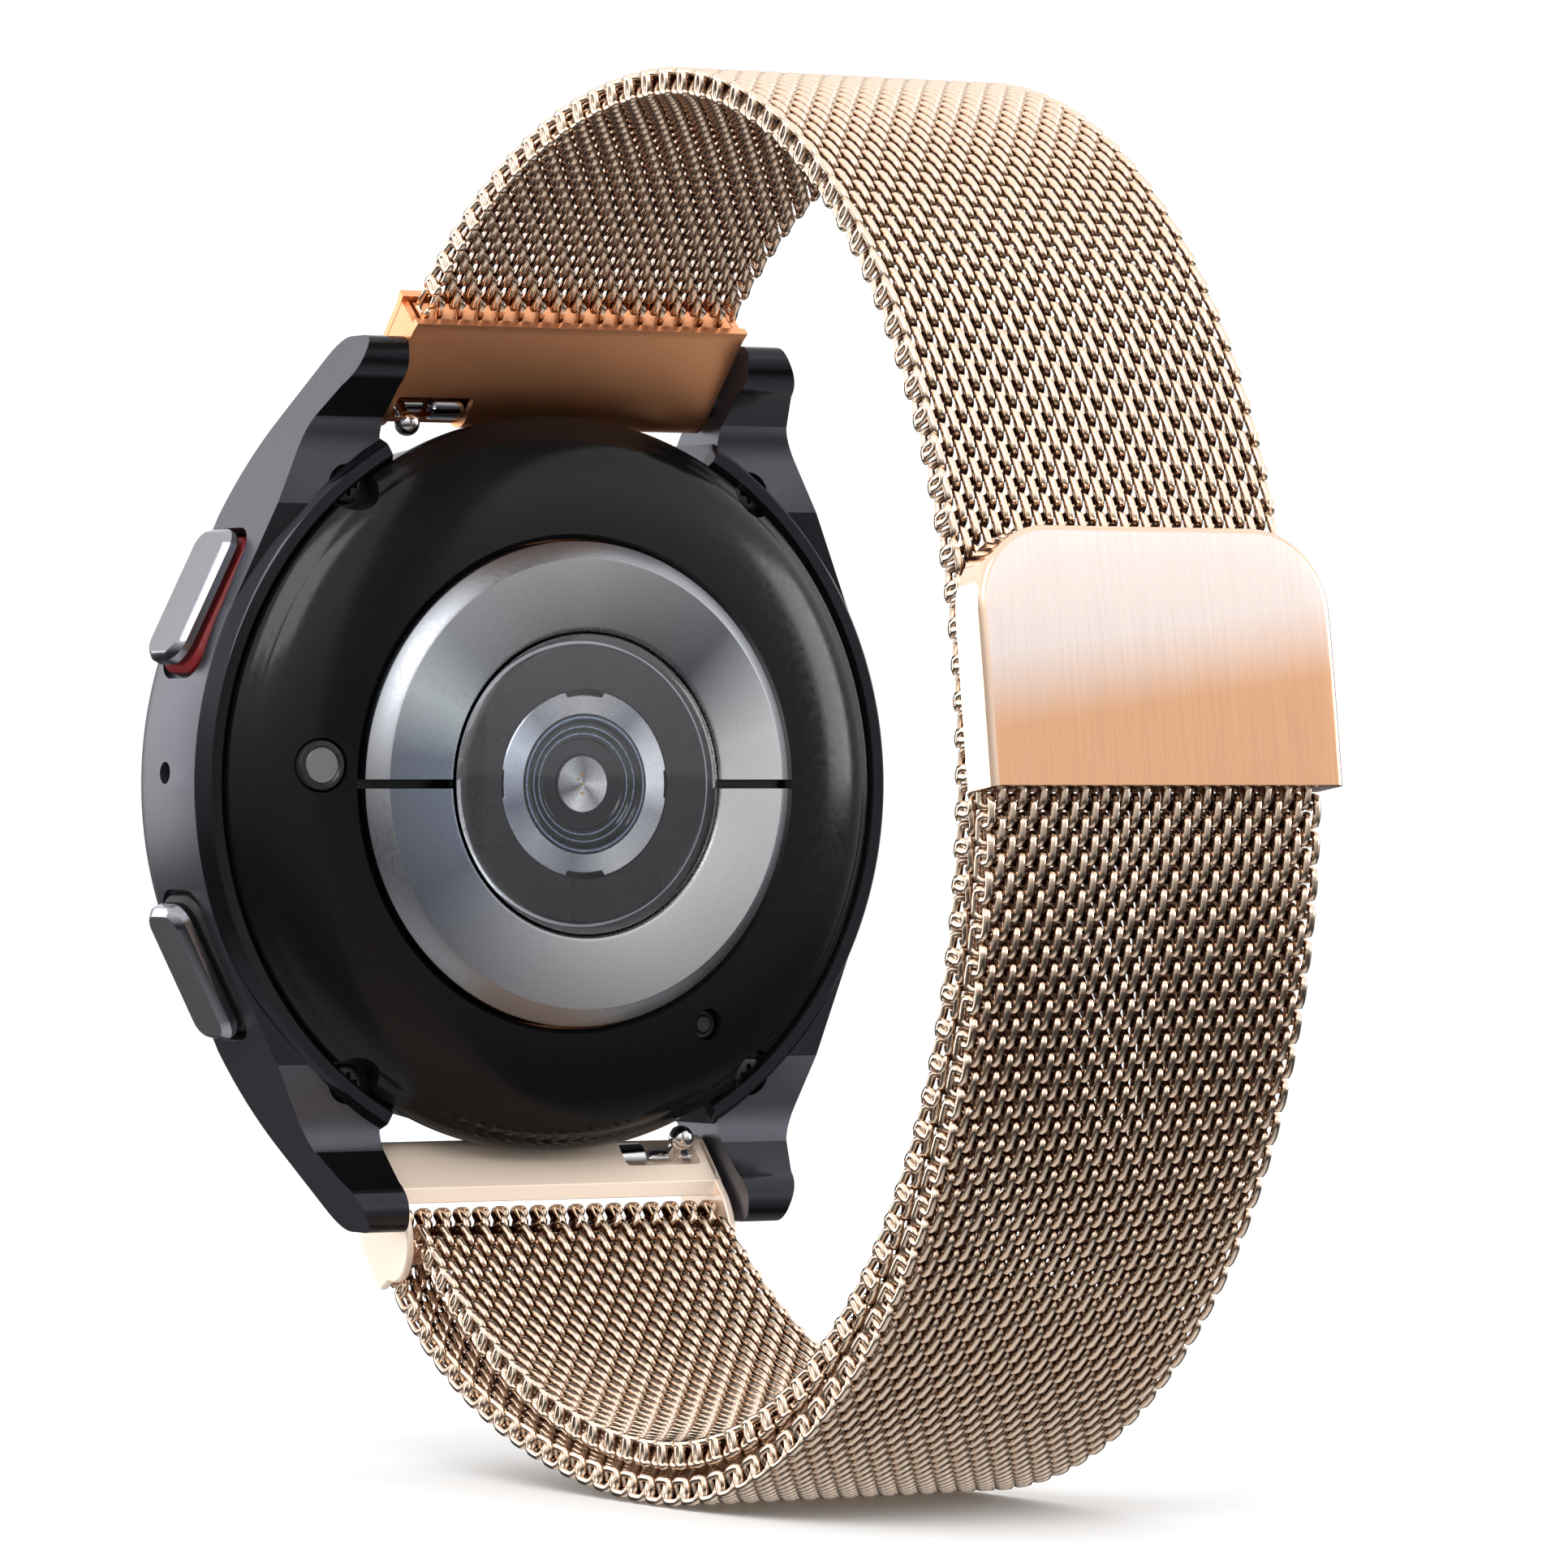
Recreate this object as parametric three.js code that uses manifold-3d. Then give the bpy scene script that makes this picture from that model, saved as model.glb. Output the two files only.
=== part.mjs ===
// A round smartwatch on a woven metal loop strap, in millimetres.
// The origin is the middle of the sensor window's outer face, where the watch rests on the wrist.
// +Y points out of the back towards the wrist, +Z towards 12 o'clock and +X towards the buttons at 3 o'clock.
// The strap is a closed loop: it leaves the upper end piece, goes round the wrist, passes through the lower
// end piece, folds back over its bar and runs up the outside to a magnetic clasp.

import * as THREE from "three";
import { mergeVertices } from "three/addons/utils/BufferGeometryUtils.js";
import Module from "manifold-3d";

const wasm = await Module();
wasm.setup();

// ---------------------------------------------------------------- driving dimensions

const CLEARANCE = 0.15; // between pieces that seat on or in each other
const ROUND = 60; // segments of the large round pieces
const SMALL_ROUND = 16; // segments of screws, pins and holes

// Head: radii from the watch's axis, depths along Y
const CASE_RADIUS = 21.6;
const CASE_FRONT = -12.4;
const CASE_BACK = -4.0;
const CAVITY_RADIUS = CASE_RADIUS - 4.0;
const GLASS_RADIUS = CASE_RADIUS - 3.3;
const GLASS_THICKNESS = 1.15;
const COVER_RADIUS = CASE_RADIUS - 1.5;
const COVER_RIM_THICKNESS = 0.7;
const COVER_WALL = 1.0;
const ELECTRODE_RADIUS = 13.2;
const ELECTRODE_FACE = -0.25;
const ELECTRODE_SPLIT = 0.5; // width of the gap between the two halves
const WINDOW_RADIUS = 8.15;
const WINDOW_THICKNESS = 0.85;
const LIGHT_RING_RADIUS = 5.1;
const LIGHT_RING_BORE = 3.8;
const SCREW_CIRCLE = CASE_RADIUS - 1.2;
const SCREW_INSET = 1.96; // from a lug's inner face to its screw's middle
const SCREW_HEAD_RADIUS = 1.0;
const SCREW_SHANK_RADIUS = 0.5;
const SCREW_LENGTH = 3.8;

// Lugs
const LUG_GAP = 21.2;
const LUG_REACH = CASE_RADIUS + 2.5; // from the axis to the lug's tip
const LUG_TIP_WIDTH = 2.6;
const BAR_HEIGHT = LUG_REACH - 3.4; // height of the spring bars above and below the axis
const BAR_DEPTH = -6.3;
const NOTCH_RADIUS = COVER_RADIUS - 1.1; // the case wall between the lugs
const REAR_LEDGE_RADIUS = COVER_RADIUS - 0.8; // the ledge under the rear cover, between the lugs

// Buttons
const BUTTON_ANGLE = 27; // degrees above and below the X axis
const BUTTON_LENGTH = 8.0;
const BUTTON_WIDTH = 3.8;
const BUTTON_DEPTH = -8.4;
const BUTTON_THICKNESS = 0.9;
const BUTTON_TRAVEL = 0.3;
const BUTTON_STEM_RADIUS = 0.6;
const SEAL_THICKNESS = 0.65;
const MICROPHONE_HOLE_RADIUS = 0.6;

// Spring bars with a quick-release pin
const TUBE_RADIUS = 0.85;
const TUBE_BORE = 0.62;
const PIN_RADIUS = 0.45;
const PIN_REACH = 0.9; // how far a pin enters its lug
const PIN_HOLE_RADIUS = 0.65;
const RELEASE_TRAVEL = 1.15;
const KNOB_RADIUS = 0.7;
const KNOB_REACH = 1.7; // from the bar's axis to the knob's middle
const KNOB_INSET = 1.3; // from the tube's end to the knob's middle
const WINDOW_MARGIN = 1.9; // what the end piece's window leaves beyond the knob's slot
const WINDOW_EDGE = 0.8; // from the window to the end piece's side

// Strap
const END_WIDTH = LUG_GAP - 0.6;
const STRAP_WIDTH = END_WIDTH - 1.2;
const STRAP_THICKNESS = 1.6;
const ROW_PITCH = 1.8; // one woven row along the strap
const ROW_GAP = 0.3; // where two lengths of strap hinge on each other
const END_ANGLE = 47; // degrees, the slope of both end pieces
const END_WALL = 0.4;
const BARREL_RADIUS = STRAP_THICKNESS / 2 + END_WALL + 0.05;
const CLAMP_LENGTH = 6.6; // from the spring bar to the clamp's mouth
const LOOP_TOP = BAR_HEIGHT + 15.3; // the strap's middle above the axis at its highest
const LOOP_BOTTOM = LOOP_TOP - 1.6; // and below it at its lowest
const APEX_DEPTH = 23.5; // Y of these two points
const LOOP_REACH = 29.6; // from there to the back of the loop
const FOLD_BAR_RADIUS = 0.7;
const FOLD_BAR_OFFSET = [5.2, -1.2]; // from the lower spring bar, along and across its end piece
const LAYER_PITCH = STRAP_THICKNESS + 0.25; // between the middles of the strap's two layers
const TAIL_ANGLE = 52; // degrees, the slope at which the outer layer leaves its bar

// Clasp
const CLASP_WIDTH = STRAP_WIDTH + 1.0;
const CLASP_HEIGHT = 12.8;
const CLASP_THICKNESS = 2.5;
const CLASP_CORNER = 4.2;
const CLASP_WALL = 0.45;
const CLASP_TILT = 7.5; // degrees, leaning towards the watch at its top
const CLASP_DROP = 0.4; // its lower edge, below the axis

const rad = THREE.MathUtils.degToRad;

// ---------------------------------------------------------------- materials

const material = (color, roughness, metalness) =>
  new THREE.MeshStandardMaterial({ color, roughness, metalness });
const GRAPHITE = material(0x3b3b42, 0.35, 0.8);
const BLACK_GLOSS = material(0x0a0a0b, 0.1, 0.0);
const GLASS = material(0x15161a, 0.05, 0.0);
const MIRROR_METAL = material(0x8d9093, 0.15, 0.9);
const ROSE_GOLD = material(0xd9a27c, 0.2, 1.0);
const STEEL = material(0xc9c9cc, 0.2, 1.0);
const RED_RUBBER = material(0x8a1111, 0.6, 0.0);
const BLACK_RUBBER = material(0x101010, 0.7, 0.0);
const CIRCUIT_GREEN = material(0x14402a, 0.5, 0.1);
const CELL_SILVER = material(0x9b9ea3, 0.4, 0.6);
const DARK_PLASTIC = material(0x1c1c1e, 0.6, 0.0);
const COPPER = material(0xb06a3c, 0.3, 0.9);
const MAGNET_GREY = material(0x6a6b6f, 0.35, 0.8);

// ---------------------------------------------------------------- geometry helpers

// A closed geometry as a solid; one whose faces point inwards is turned round.
function solidOf(geometry) {
  const bare = (geometry.index ? geometry.toNonIndexed() : geometry).clone();
  for (const name of Object.keys(bare.attributes)) if (name !== "position") bare.deleteAttribute(name);
  const merged = mergeVertices(bare, 1e-4);
  const vertProperties = merged.attributes.position.array;
  const triVerts = new Uint32Array(merged.index.array);
  const make = () => new wasm.Manifold(new wasm.Mesh({ numProp: 3, vertProperties, triVerts }));
  const made = make();
  if (made.volume() >= 0) return made;
  for (let i = 0; i < triVerts.length; i += 3)
    [triVerts[i + 1], triVerts[i + 2]] = [triVerts[i + 2], triVerts[i + 1]];
  return make();
}

function geometryOf(solid) {
  const mesh = solid.getMesh();
  const points = new Float32Array(mesh.numVert * 3);
  for (let i = 0; i < mesh.numVert; i++)
    points.set(mesh.vertProperties.subarray(i * mesh.numProp, i * mesh.numProp + 3), i * 3);
  const geometry = new THREE.BufferGeometry()
    .setAttribute("position", new THREE.BufferAttribute(points, 3))
    .setIndex(new THREE.BufferAttribute(mesh.triVerts, 1));
  geometry.computeVertexNormals();
  return geometry;
}

// A closed profile of [radius, y] points turned about the Y axis.
const turned = (profile, segments = ROUND) => {
  const closed = profile[0][0] === 0 ? profile : [...profile, profile[0]];
  return solidOf(new THREE.LatheGeometry(closed.map(([r, y]) => new THREE.Vector2(r, y)), segments));
};

const disc = (radius, y0, y1, segments = ROUND) =>
  turned([[0, y0], [radius, y0], [radius, y1], [0, y1]], segments);
const ring = (inner, outer, y0, y1) => turned([[inner, y0], [outer, y0], [outer, y1], [inner, y1]]);

function box([x0, x1], [y0, y1], [z0, z1]) {
  const geometry = new THREE.BoxGeometry(x1 - x0, y1 - y0, z1 - z0);
  return solidOf(geometry.translate((x0 + x1) / 2, (y0 + y1) / 2, (z0 + z1) / 2));
}

// An outline in the Y-Z plane carried along X.
function alongX(shape, [x0, x1], curveSegments = 8) {
  const geometry = new THREE.ExtrudeGeometry(shape, { depth: x1 - x0, bevelEnabled: false, curveSegments });
  const turn = new THREE.Matrix4().makeBasis(
    new THREE.Vector3(0, 1, 0), new THREE.Vector3(0, 0, 1), new THREE.Vector3(1, 0, 0));
  return solidOf(geometry.applyMatrix4(turn).translate(x0, 0, 0));
}

// An outline in the X-Z plane carried along Y.
function alongY(shape, [y0, y1], curveSegments = 8) {
  const geometry = new THREE.ExtrudeGeometry(shape, { depth: y1 - y0, bevelEnabled: false, curveSegments });
  const turn = new THREE.Matrix4().makeBasis(
    new THREE.Vector3(1, 0, 0), new THREE.Vector3(0, 0, 1), new THREE.Vector3(0, -1, 0));
  return solidOf(geometry.applyMatrix4(turn).translate(0, y1, 0));
}

// A cylinder with its axis along X, and one with its axis along Y.
const rodX = (radius, [x0, x1], y = 0, z = 0, segments = SMALL_ROUND) =>
  solidOf(new THREE.CylinderGeometry(radius, radius, x1 - x0, segments)
    .rotateZ(Math.PI / 2).translate((x0 + x1) / 2, y, z));
const rodY = (radius, [y0, y1], x = 0, z = 0, segments = SMALL_ROUND) =>
  solidOf(new THREE.CylinderGeometry(radius, radius, y1 - y0, segments).translate(x, (y0 + y1) / 2, z));

const polygon = (points) => new THREE.Shape(points.map(([a, b]) => new THREE.Vector2(a, b)));

function roundedRectangle(width, height, corner) {
  const [w, h] = [width / 2, height / 2];
  const shape = new THREE.Shape();
  shape.absarc(w - corner, h - corner, corner, 0, rad(90));
  shape.absarc(corner - w, h - corner, corner, rad(90), rad(180));
  shape.absarc(corner - w, corner - h, corner, rad(180), rad(270));
  shape.absarc(w - corner, corner - h, corner, rad(270), rad(360));
  return shape;
}

function piece(name, solid, finish, parent) {
  const mesh = new THREE.Mesh(geometryOf(solid), finish);
  mesh.name = name;
  parent.add(mesh);
  return mesh;
}

// ---------------------------------------------------------------- head

// Depths that pieces in the head share
const GLASS_SEAT = CASE_FRONT + GLASS_THICKNESS + CLEARANCE;
const COVER_RIM = CASE_BACK; // outer edge of the rear cover
const COVER_LEDGE = COVER_RIM - COVER_RIM_THICKNESS - 0.45;
const LEDGE_THICKNESS = 0.5;
const COVER_INNER_EDGE = ELECTRODE_RADIUS + CLEARANCE;
const COVER_CROWN = -1.5;
const PANEL_THICKNESS = 0.6;
const BOARD_THICKNESS = 0.7;
const STACK_GAP = 0.3; // adhesive and shims between stacked boards
const PANEL_FRONT = GLASS_SEAT;
const BOARD_FRONT = PANEL_FRONT + PANEL_THICKNESS + STACK_GAP;
const BRACKET_FRONT = BOARD_FRONT + BOARD_THICKNESS + STACK_GAP;
const BRACKET_BACK = COVER_LEDGE - CLEARANCE;
const BATTERY_RADIUS = 11.8;

const upDown = [["upper", 1], ["lower", -1]];
const screwX = LUG_GAP / 2 + SCREW_INSET;
const screwZ = Math.sqrt(SCREW_CIRCLE ** 2 - screwX ** 2);
const screwPlaces = [[1, 1], [-1, 1], [-1, -1], [1, -1]].map(([sx, sz]) => [sx * screwX, sz * screwZ]);
const SCREW_SEAT = CASE_BACK - 1.3;

// One lug: its outline from the side, carried across, cut to its outline from behind.
function lug(sx, sz) {
  const side = new THREE.Shape();
  side.moveTo(CASE_FRONT + 1.6, 6);
  side.lineTo(CASE_FRONT + 1.6, LUG_REACH - 9.6);
  side.quadraticCurveTo(CASE_FRONT + 2.2, LUG_REACH - 6.6, CASE_FRONT + 4.2, LUG_REACH - 4.3);
  side.lineTo(CASE_FRONT + 7.2, LUG_REACH - 0.8);
  side.quadraticCurveTo(CASE_FRONT + 7.9, LUG_REACH, CASE_FRONT + 8.9, LUG_REACH);
  side.lineTo(-2.0, LUG_REACH);
  side.quadraticCurveTo(-1.1, LUG_REACH, -1.1, LUG_REACH - 0.9);
  side.lineTo(-1.1, LUG_REACH - 1.6);
  side.quadraticCurveTo(-1.3, LUG_REACH - 4.2, CASE_BACK, LUG_REACH - 5.8);
  side.lineTo(CASE_BACK, 6);
  // The outer edge leaves the round case at the point where it touches it.
  const tip = [LUG_GAP / 2 + LUG_TIP_WIDTH, LUG_REACH - 0.8];
  const touch = Math.atan2(tip[1], tip[0]) - Math.acos(CASE_RADIUS / Math.hypot(...tip));
  const plan = polygon([
    [LUG_GAP / 2, 6], [CASE_RADIUS * Math.cos(touch), 6],
    [CASE_RADIUS * Math.cos(touch), CASE_RADIUS * Math.sin(touch)],
    tip, [tip[0] - 0.5, LUG_REACH + 1], [LUG_GAP / 2, LUG_REACH + 1],
  ]);
  const whole = alongX(side, [LUG_GAP / 2, CASE_RADIUS], 5).intersect(alongY(plan, [CASE_FRONT, 0]));
  const outside = whole.subtract(disc(COVER_RADIUS + CLEARANCE, CASE_FRONT - 1, 1));
  return outside.scale([sx, 1, sz]);
}

// What is taken out of the case for one button: a flat pocket, and a hole for its stem.
const buttonTurn = (solid, side) => solid.rotate([0, -side * BUTTON_ANGLE, 0]);
const POCKET_FLOOR = CASE_RADIUS - 0.8;

// A rounded block standing on a button's axis, from one distance from the watch's axis to another.
function buttonBlock(length, width, from, to) {
  const corner = Math.min(width, length) * 0.3;
  const shape = roundedRectangle(width, length, corner);
  const carried = { depth: to - from, bevelEnabled: false, curveSegments: 4 };
  const geometry = new THREE.ExtrudeGeometry(shape, carried);
  const turn = new THREE.Matrix4().makeBasis(
    new THREE.Vector3(0, 1, 0), new THREE.Vector3(0, 0, 1), new THREE.Vector3(1, 0, 0));
  return solidOf(geometry.applyMatrix4(turn).translate(from, BUTTON_DEPTH, 0));
}

function caseFrame() {
  let body = turned([
    [CAVITY_RADIUS, GLASS_SEAT], [GLASS_RADIUS + CLEARANCE, GLASS_SEAT],
    [GLASS_RADIUS + CLEARANCE, CASE_FRONT + 0.15], [GLASS_RADIUS + 0.5, CASE_FRONT],
    [CASE_RADIUS - 1.4, CASE_FRONT + 0.1], [CASE_RADIUS - 0.5, CASE_FRONT + 0.6],
    [CASE_RADIUS, CASE_FRONT + 1.5], [CASE_RADIUS, CASE_BACK - 0.9], [CASE_RADIUS - 0.35, CASE_BACK - 0.25],
    [CASE_RADIUS - 0.9, CASE_BACK], [COVER_RADIUS + CLEARANCE, CASE_BACK],
    [COVER_RADIUS + CLEARANCE, COVER_LEDGE], [CAVITY_RADIUS, COVER_LEDGE],
  ]);
  const core = disc(NOTCH_RADIUS, CASE_FRONT - 1, 1).add(
    disc(REAR_LEDGE_RADIUS, COVER_LEDGE - LEDGE_THICKNESS, COVER_LEDGE + 0.01));
  for (const sz of [1, -1]) {
    const band = box([-LUG_GAP / 2, LUG_GAP / 2], [CASE_FRONT - 1, 1], sz > 0 ? [14, 30] : [-30, -14]);
    body = body.subtract(band.subtract(core));
  }
  for (const sx of [1, -1]) for (const sz of [1, -1]) body = body.add(lug(sx, sz));
  for (const [, sz] of upDown)
    for (const sx of [1, -1]) {
      const [near, far] = [LUG_GAP / 2 - 1, LUG_GAP / 2 + PIN_REACH + 0.3];
      const span = sx > 0 ? [near, far] : [-far, -near];
      body = body.subtract(rodX(PIN_HOLE_RADIUS, span, BAR_DEPTH, sz * BAR_HEIGHT, 12));
    }
  for (const [x, z] of screwPlaces) {
    const depths = [SCREW_SEAT - SCREW_LENGTH, SCREW_SEAT + 1];
    body = body.subtract(rodY(SCREW_HEAD_RADIUS + 0.2, [SCREW_SEAT, 1], x, z));
    body = body.subtract(rodY(SCREW_SHANK_RADIUS + CLEARANCE, depths, x, z, 12));
  }
  for (const [, side] of upDown) {
    const pocket = buttonBlock(BUTTON_LENGTH + 0.8, BUTTON_WIDTH + 0.8, POCKET_FLOOR, CASE_RADIUS + 2);
    const stemHole = rodX(BUTTON_STEM_RADIUS + CLEARANCE, [CAVITY_RADIUS - 2, CASE_RADIUS], BUTTON_DEPTH);
    body = body.subtract(buttonTurn(pocket.add(stemHole), side));
  }
  return body.subtract(rodX(MICROPHONE_HOLE_RADIUS, [CAVITY_RADIUS - 2, CASE_RADIUS + 1], BUTTON_DEPTH, 0.6));
}

// Where the temperature sensor and the pressure vent sit in the rear cover, as [x, z, radius]
const TEMPERATURE_PLACE = [15.6, 1.0, 1.35];
const VENT_PLACE = [-8.4, -13.2, 0.75];

function rearCover() {
  let cover = turned([
    [COVER_INNER_EDGE, COVER_CROWN - COVER_WALL], [COVER_INNER_EDGE, COVER_CROWN],
    [COVER_INNER_EDGE + 1.6, COVER_CROWN - 0.2], [COVER_RADIUS - 3.0, COVER_CROWN - 0.9],
    [COVER_RADIUS - 1.0, COVER_RIM + 0.75], [COVER_RADIUS - 0.25, COVER_RIM + 0.2],
    [COVER_RADIUS, COVER_RIM - 0.15],
    [COVER_RADIUS, COVER_RIM - COVER_RIM_THICKNESS], [COVER_RADIUS - 2.2, COVER_RIM - COVER_RIM_THICKNESS],
    [COVER_RADIUS - 2.6, COVER_RIM - 0.1], [COVER_RADIUS - 4.0, COVER_CROWN - COVER_WALL - 0.9],
  ]);
  for (const [x, z] of screwPlaces) cover = cover.subtract(rodY(SCREW_HEAD_RADIUS + 0.35, [-8, 1], x, z));
  const [tx, tz, tr] = TEMPERATURE_PLACE;
  const [vx, vz, vr] = VENT_PLACE;
  return cover.subtract(rodY(tr + CLEARANCE, [-8, 1], tx, tz)).subtract(rodY(vr, [-8, 1], vx, vz, 12));
}

// A slotted screw, standing on its seat with its head up.
function screw() {
  const headHeight = 0.9;
  const made = turned([
    [0, -SCREW_LENGTH + 0.9], [SCREW_SHANK_RADIUS, -SCREW_LENGTH + 0.9], [SCREW_SHANK_RADIUS, 0.1],
    [SCREW_HEAD_RADIUS, 0.1], [SCREW_HEAD_RADIUS, headHeight - 0.2],
    [SCREW_HEAD_RADIUS - 0.2, headHeight], [0, headHeight],
  ], SMALL_ROUND);
  const slot = 0.15;
  return made
    .subtract(box([-0.55, 0.55], [headHeight - 0.4, headHeight + 1], [-slot, slot]))
    .subtract(box([-slot, slot], [headHeight - 0.4, headHeight + 1], [-0.55, 0.55]));
}

// The metal halves round the sensor window: a flat ring with a sloping edge, split across.
function electrode(side) {
  const whole = turned([
    [WINDOW_RADIUS + CLEARANCE, ELECTRODE_FACE - 1.9], [ELECTRODE_RADIUS, ELECTRODE_FACE - 1.9],
    [ELECTRODE_RADIUS, ELECTRODE_FACE - 0.95], [ELECTRODE_RADIUS - 0.9, ELECTRODE_FACE - 0.05],
    [WINDOW_RADIUS + CLEARANCE + 0.2, ELECTRODE_FACE], [WINDOW_RADIUS + CLEARANCE, ELECTRODE_FACE - 0.15],
  ]);
  const [near, far] = [ELECTRODE_SPLIT / 2, ELECTRODE_RADIUS + 1];
  return whole.intersect(box([-far, far], [-5, 1], side > 0 ? [near, far] : [-far, -near]));
}

// The bright ring under the window, with notches at its top and bottom.
function lightRing(y0, y1) {
  let made = ring(LIGHT_RING_BORE, LIGHT_RING_RADIUS, y0, y1);
  for (const sz of [1, -1]) {
    const cut = sz > 0 ? [LIGHT_RING_RADIUS - 0.4, 6] : [-6, 0.4 - LIGHT_RING_RADIUS];
    made = made.subtract(box([-1.1, 1.1], [y0 - 1, y1 + 1], cut));
  }
  return made;
}

// The bracket round the battery, with a pocket for each part that it holds.
const pocketed = {
  haptic_motor: [[-4.6, 4.6], [BRACKET_FRONT + 0.4, BRACKET_BACK - 0.2], [-16.2, -12.6]],
  speaker_module: [[-16.2, -12.6], [BRACKET_FRONT + 0.4, BRACKET_BACK - 0.2], [-4.4, 4.4]],
  microphone: [[14.2, 16.4], [BRACKET_FRONT + 0.4, BRACKET_FRONT + 2.0], [-0.8, 2.2]],
};
const grown = (spans, by) => spans.map(([low, high]) => [low - by, high + by]);
const SWITCH_SPANS = [[14.6, 16.9], [BUTTON_DEPTH - 0.9, BUTTON_DEPTH + 0.9], [-1.6, 1.6]];

function innerBracket() {
  let made = ring(BATTERY_RADIUS + 0.3, CAVITY_RADIUS - 0.3, BRACKET_FRONT, BRACKET_BACK);
  for (const spans of Object.values(pocketed)) {
    const pocket = grown(spans, 0.2);
    pocket[1][1] = BRACKET_BACK + 1;
    made = made.subtract(box(...pocket));
  }
  for (const [, side] of upDown) {
    const reach = grown(SWITCH_SPANS, 0.2);
    reach[0][1] = CAVITY_RADIUS + 1;
    reach[1][0] = BRACKET_FRONT - 1;
    made = made.subtract(buttonTurn(box(...reach), side));
  }
  return made;
}

function buildHead() {
  const head = new THREE.Group();
  piece("case_frame", caseFrame(), GRAPHITE, head);
  piece("display_glass", turned([
    [0, CASE_FRONT], [GLASS_RADIUS - 0.6, CASE_FRONT], [GLASS_RADIUS, CASE_FRONT + 0.4],
    [GLASS_RADIUS, CASE_FRONT + GLASS_THICKNESS], [0, CASE_FRONT + GLASS_THICKNESS],
  ]), GLASS, head);
  const boardRadius = CAVITY_RADIUS - 0.3;
  const panel = disc(boardRadius, PANEL_FRONT, PANEL_FRONT + PANEL_THICKNESS);
  piece("display_panel", panel, DARK_PLASTIC, head);
  const board = disc(boardRadius, BOARD_FRONT, BOARD_FRONT + BOARD_THICKNESS, 40);
  piece("main_board", board, CIRCUIT_GREEN, head);
  piece("battery", disc(BATTERY_RADIUS, BRACKET_FRONT, BRACKET_BACK, 40), CELL_SILVER, head);
  piece("inner_bracket", innerBracket(), DARK_PLASTIC, head);
  piece("haptic_motor", box(...pocketed.haptic_motor), STEEL, head);
  piece("speaker_module", box(...pocketed.speaker_module), DARK_PLASTIC, head);
  piece("microphone", box(...pocketed.microphone), STEEL, head);
  const coilFront = BRACKET_BACK + STACK_GAP;
  piece("charging_coil", ring(7.5, COVER_INNER_EDGE + 1, coilFront, coilFront + 0.8), COPPER, head);
  const gasketMiddle = (COVER_LEDGE + COVER_RIM - COVER_RIM_THICKNESS) / 2;
  piece("rear_gasket", ring(COVER_RADIUS - 2.0, COVER_RADIUS - 1.4, gasketMiddle - 0.1, gasketMiddle + 0.1),
    BLACK_RUBBER, head);
  piece("rear_cover", rearCover(), BLACK_GLOSS, head);
  screwPlaces.forEach(([x, z], i) => {
    piece(`rear_screw_${i + 1}`, screw(), STEEL, head).position.set(x, SCREW_SEAT, z);
  });
  const carrierBack = ELECTRODE_FACE - 1.9 - CLEARANCE;
  piece("sensor_board", disc(ELECTRODE_RADIUS, carrierBack - 0.6, carrierBack), DARK_PLASTIC, head);
  for (const [name, side] of upDown) piece(`electrode_${name}`, electrode(side), MIRROR_METAL, head);
  piece("sensor_window", turned([
    [0, -WINDOW_THICKNESS], [WINDOW_RADIUS, -WINDOW_THICKNESS], [WINDOW_RADIUS, -0.35],
    [WINDOW_RADIUS - 0.55, 0], [0, 0],
  ]), GLASS, head);
  const opticsFace = -WINDOW_THICKNESS - CLEARANCE;
  piece("light_ring", lightRing(opticsFace - 0.35, opticsFace), MIRROR_METAL, head);
  piece("optical_core", turned([
    [0, carrierBack + CLEARANCE], [LIGHT_RING_BORE - 0.2, carrierBack + CLEARANCE],
    [LIGHT_RING_BORE - 0.2, opticsFace], [2.4, opticsFace], [2.2, opticsFace - 0.3],
    [1.6, opticsFace - 0.4], [1.5, opticsFace - 0.1], [0, opticsFace - 0.1],
  ], 40), DARK_PLASTIC, head);
  const [tx, tz, tr] = TEMPERATURE_PLACE;
  piece("temperature_sensor", turned([
    [0, -1.4], [tr, -1.4], [tr, -0.15], [tr - 0.25, 0], [0, 0],
  ], SMALL_ROUND), STEEL, head).position.set(tx, COVER_CROWN - 0.25, tz);
  for (const [name, side] of upDown) {
    const sealTop = POCKET_FLOOR + 0.1 + SEAL_THICKNESS;
    const capFoot = sealTop + BUTTON_TRAVEL + 0.1;
    const seal = buttonBlock(BUTTON_LENGTH + 0.4, BUTTON_WIDTH + 0.4, POCKET_FLOOR + 0.1, sealTop)
      .subtract(rodX(BUTTON_STEM_RADIUS + CLEARANCE, [0, CASE_RADIUS + 5], BUTTON_DEPTH));
    const cap = buttonBlock(BUTTON_LENGTH, BUTTON_WIDTH, capFoot, capFoot + BUTTON_THICKNESS)
      .add(rodX(BUTTON_STEM_RADIUS, [SWITCH_SPANS[0][1] + BUTTON_TRAVEL + 0.1, capFoot + 0.2], BUTTON_DEPTH));
    piece(`${name}_button`, buttonTurn(cap, side), GRAPHITE, head);
    piece(`${name}_button_seal`, buttonTurn(seal, side), side > 0 ? RED_RUBBER : BLACK_RUBBER, head);
    piece(`${name}_button_switch`, buttonTurn(box(...SWITCH_SPANS), side), STEEL, head);
  }
  return head;
}

// ---------------------------------------------------------------- spring bars

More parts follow.
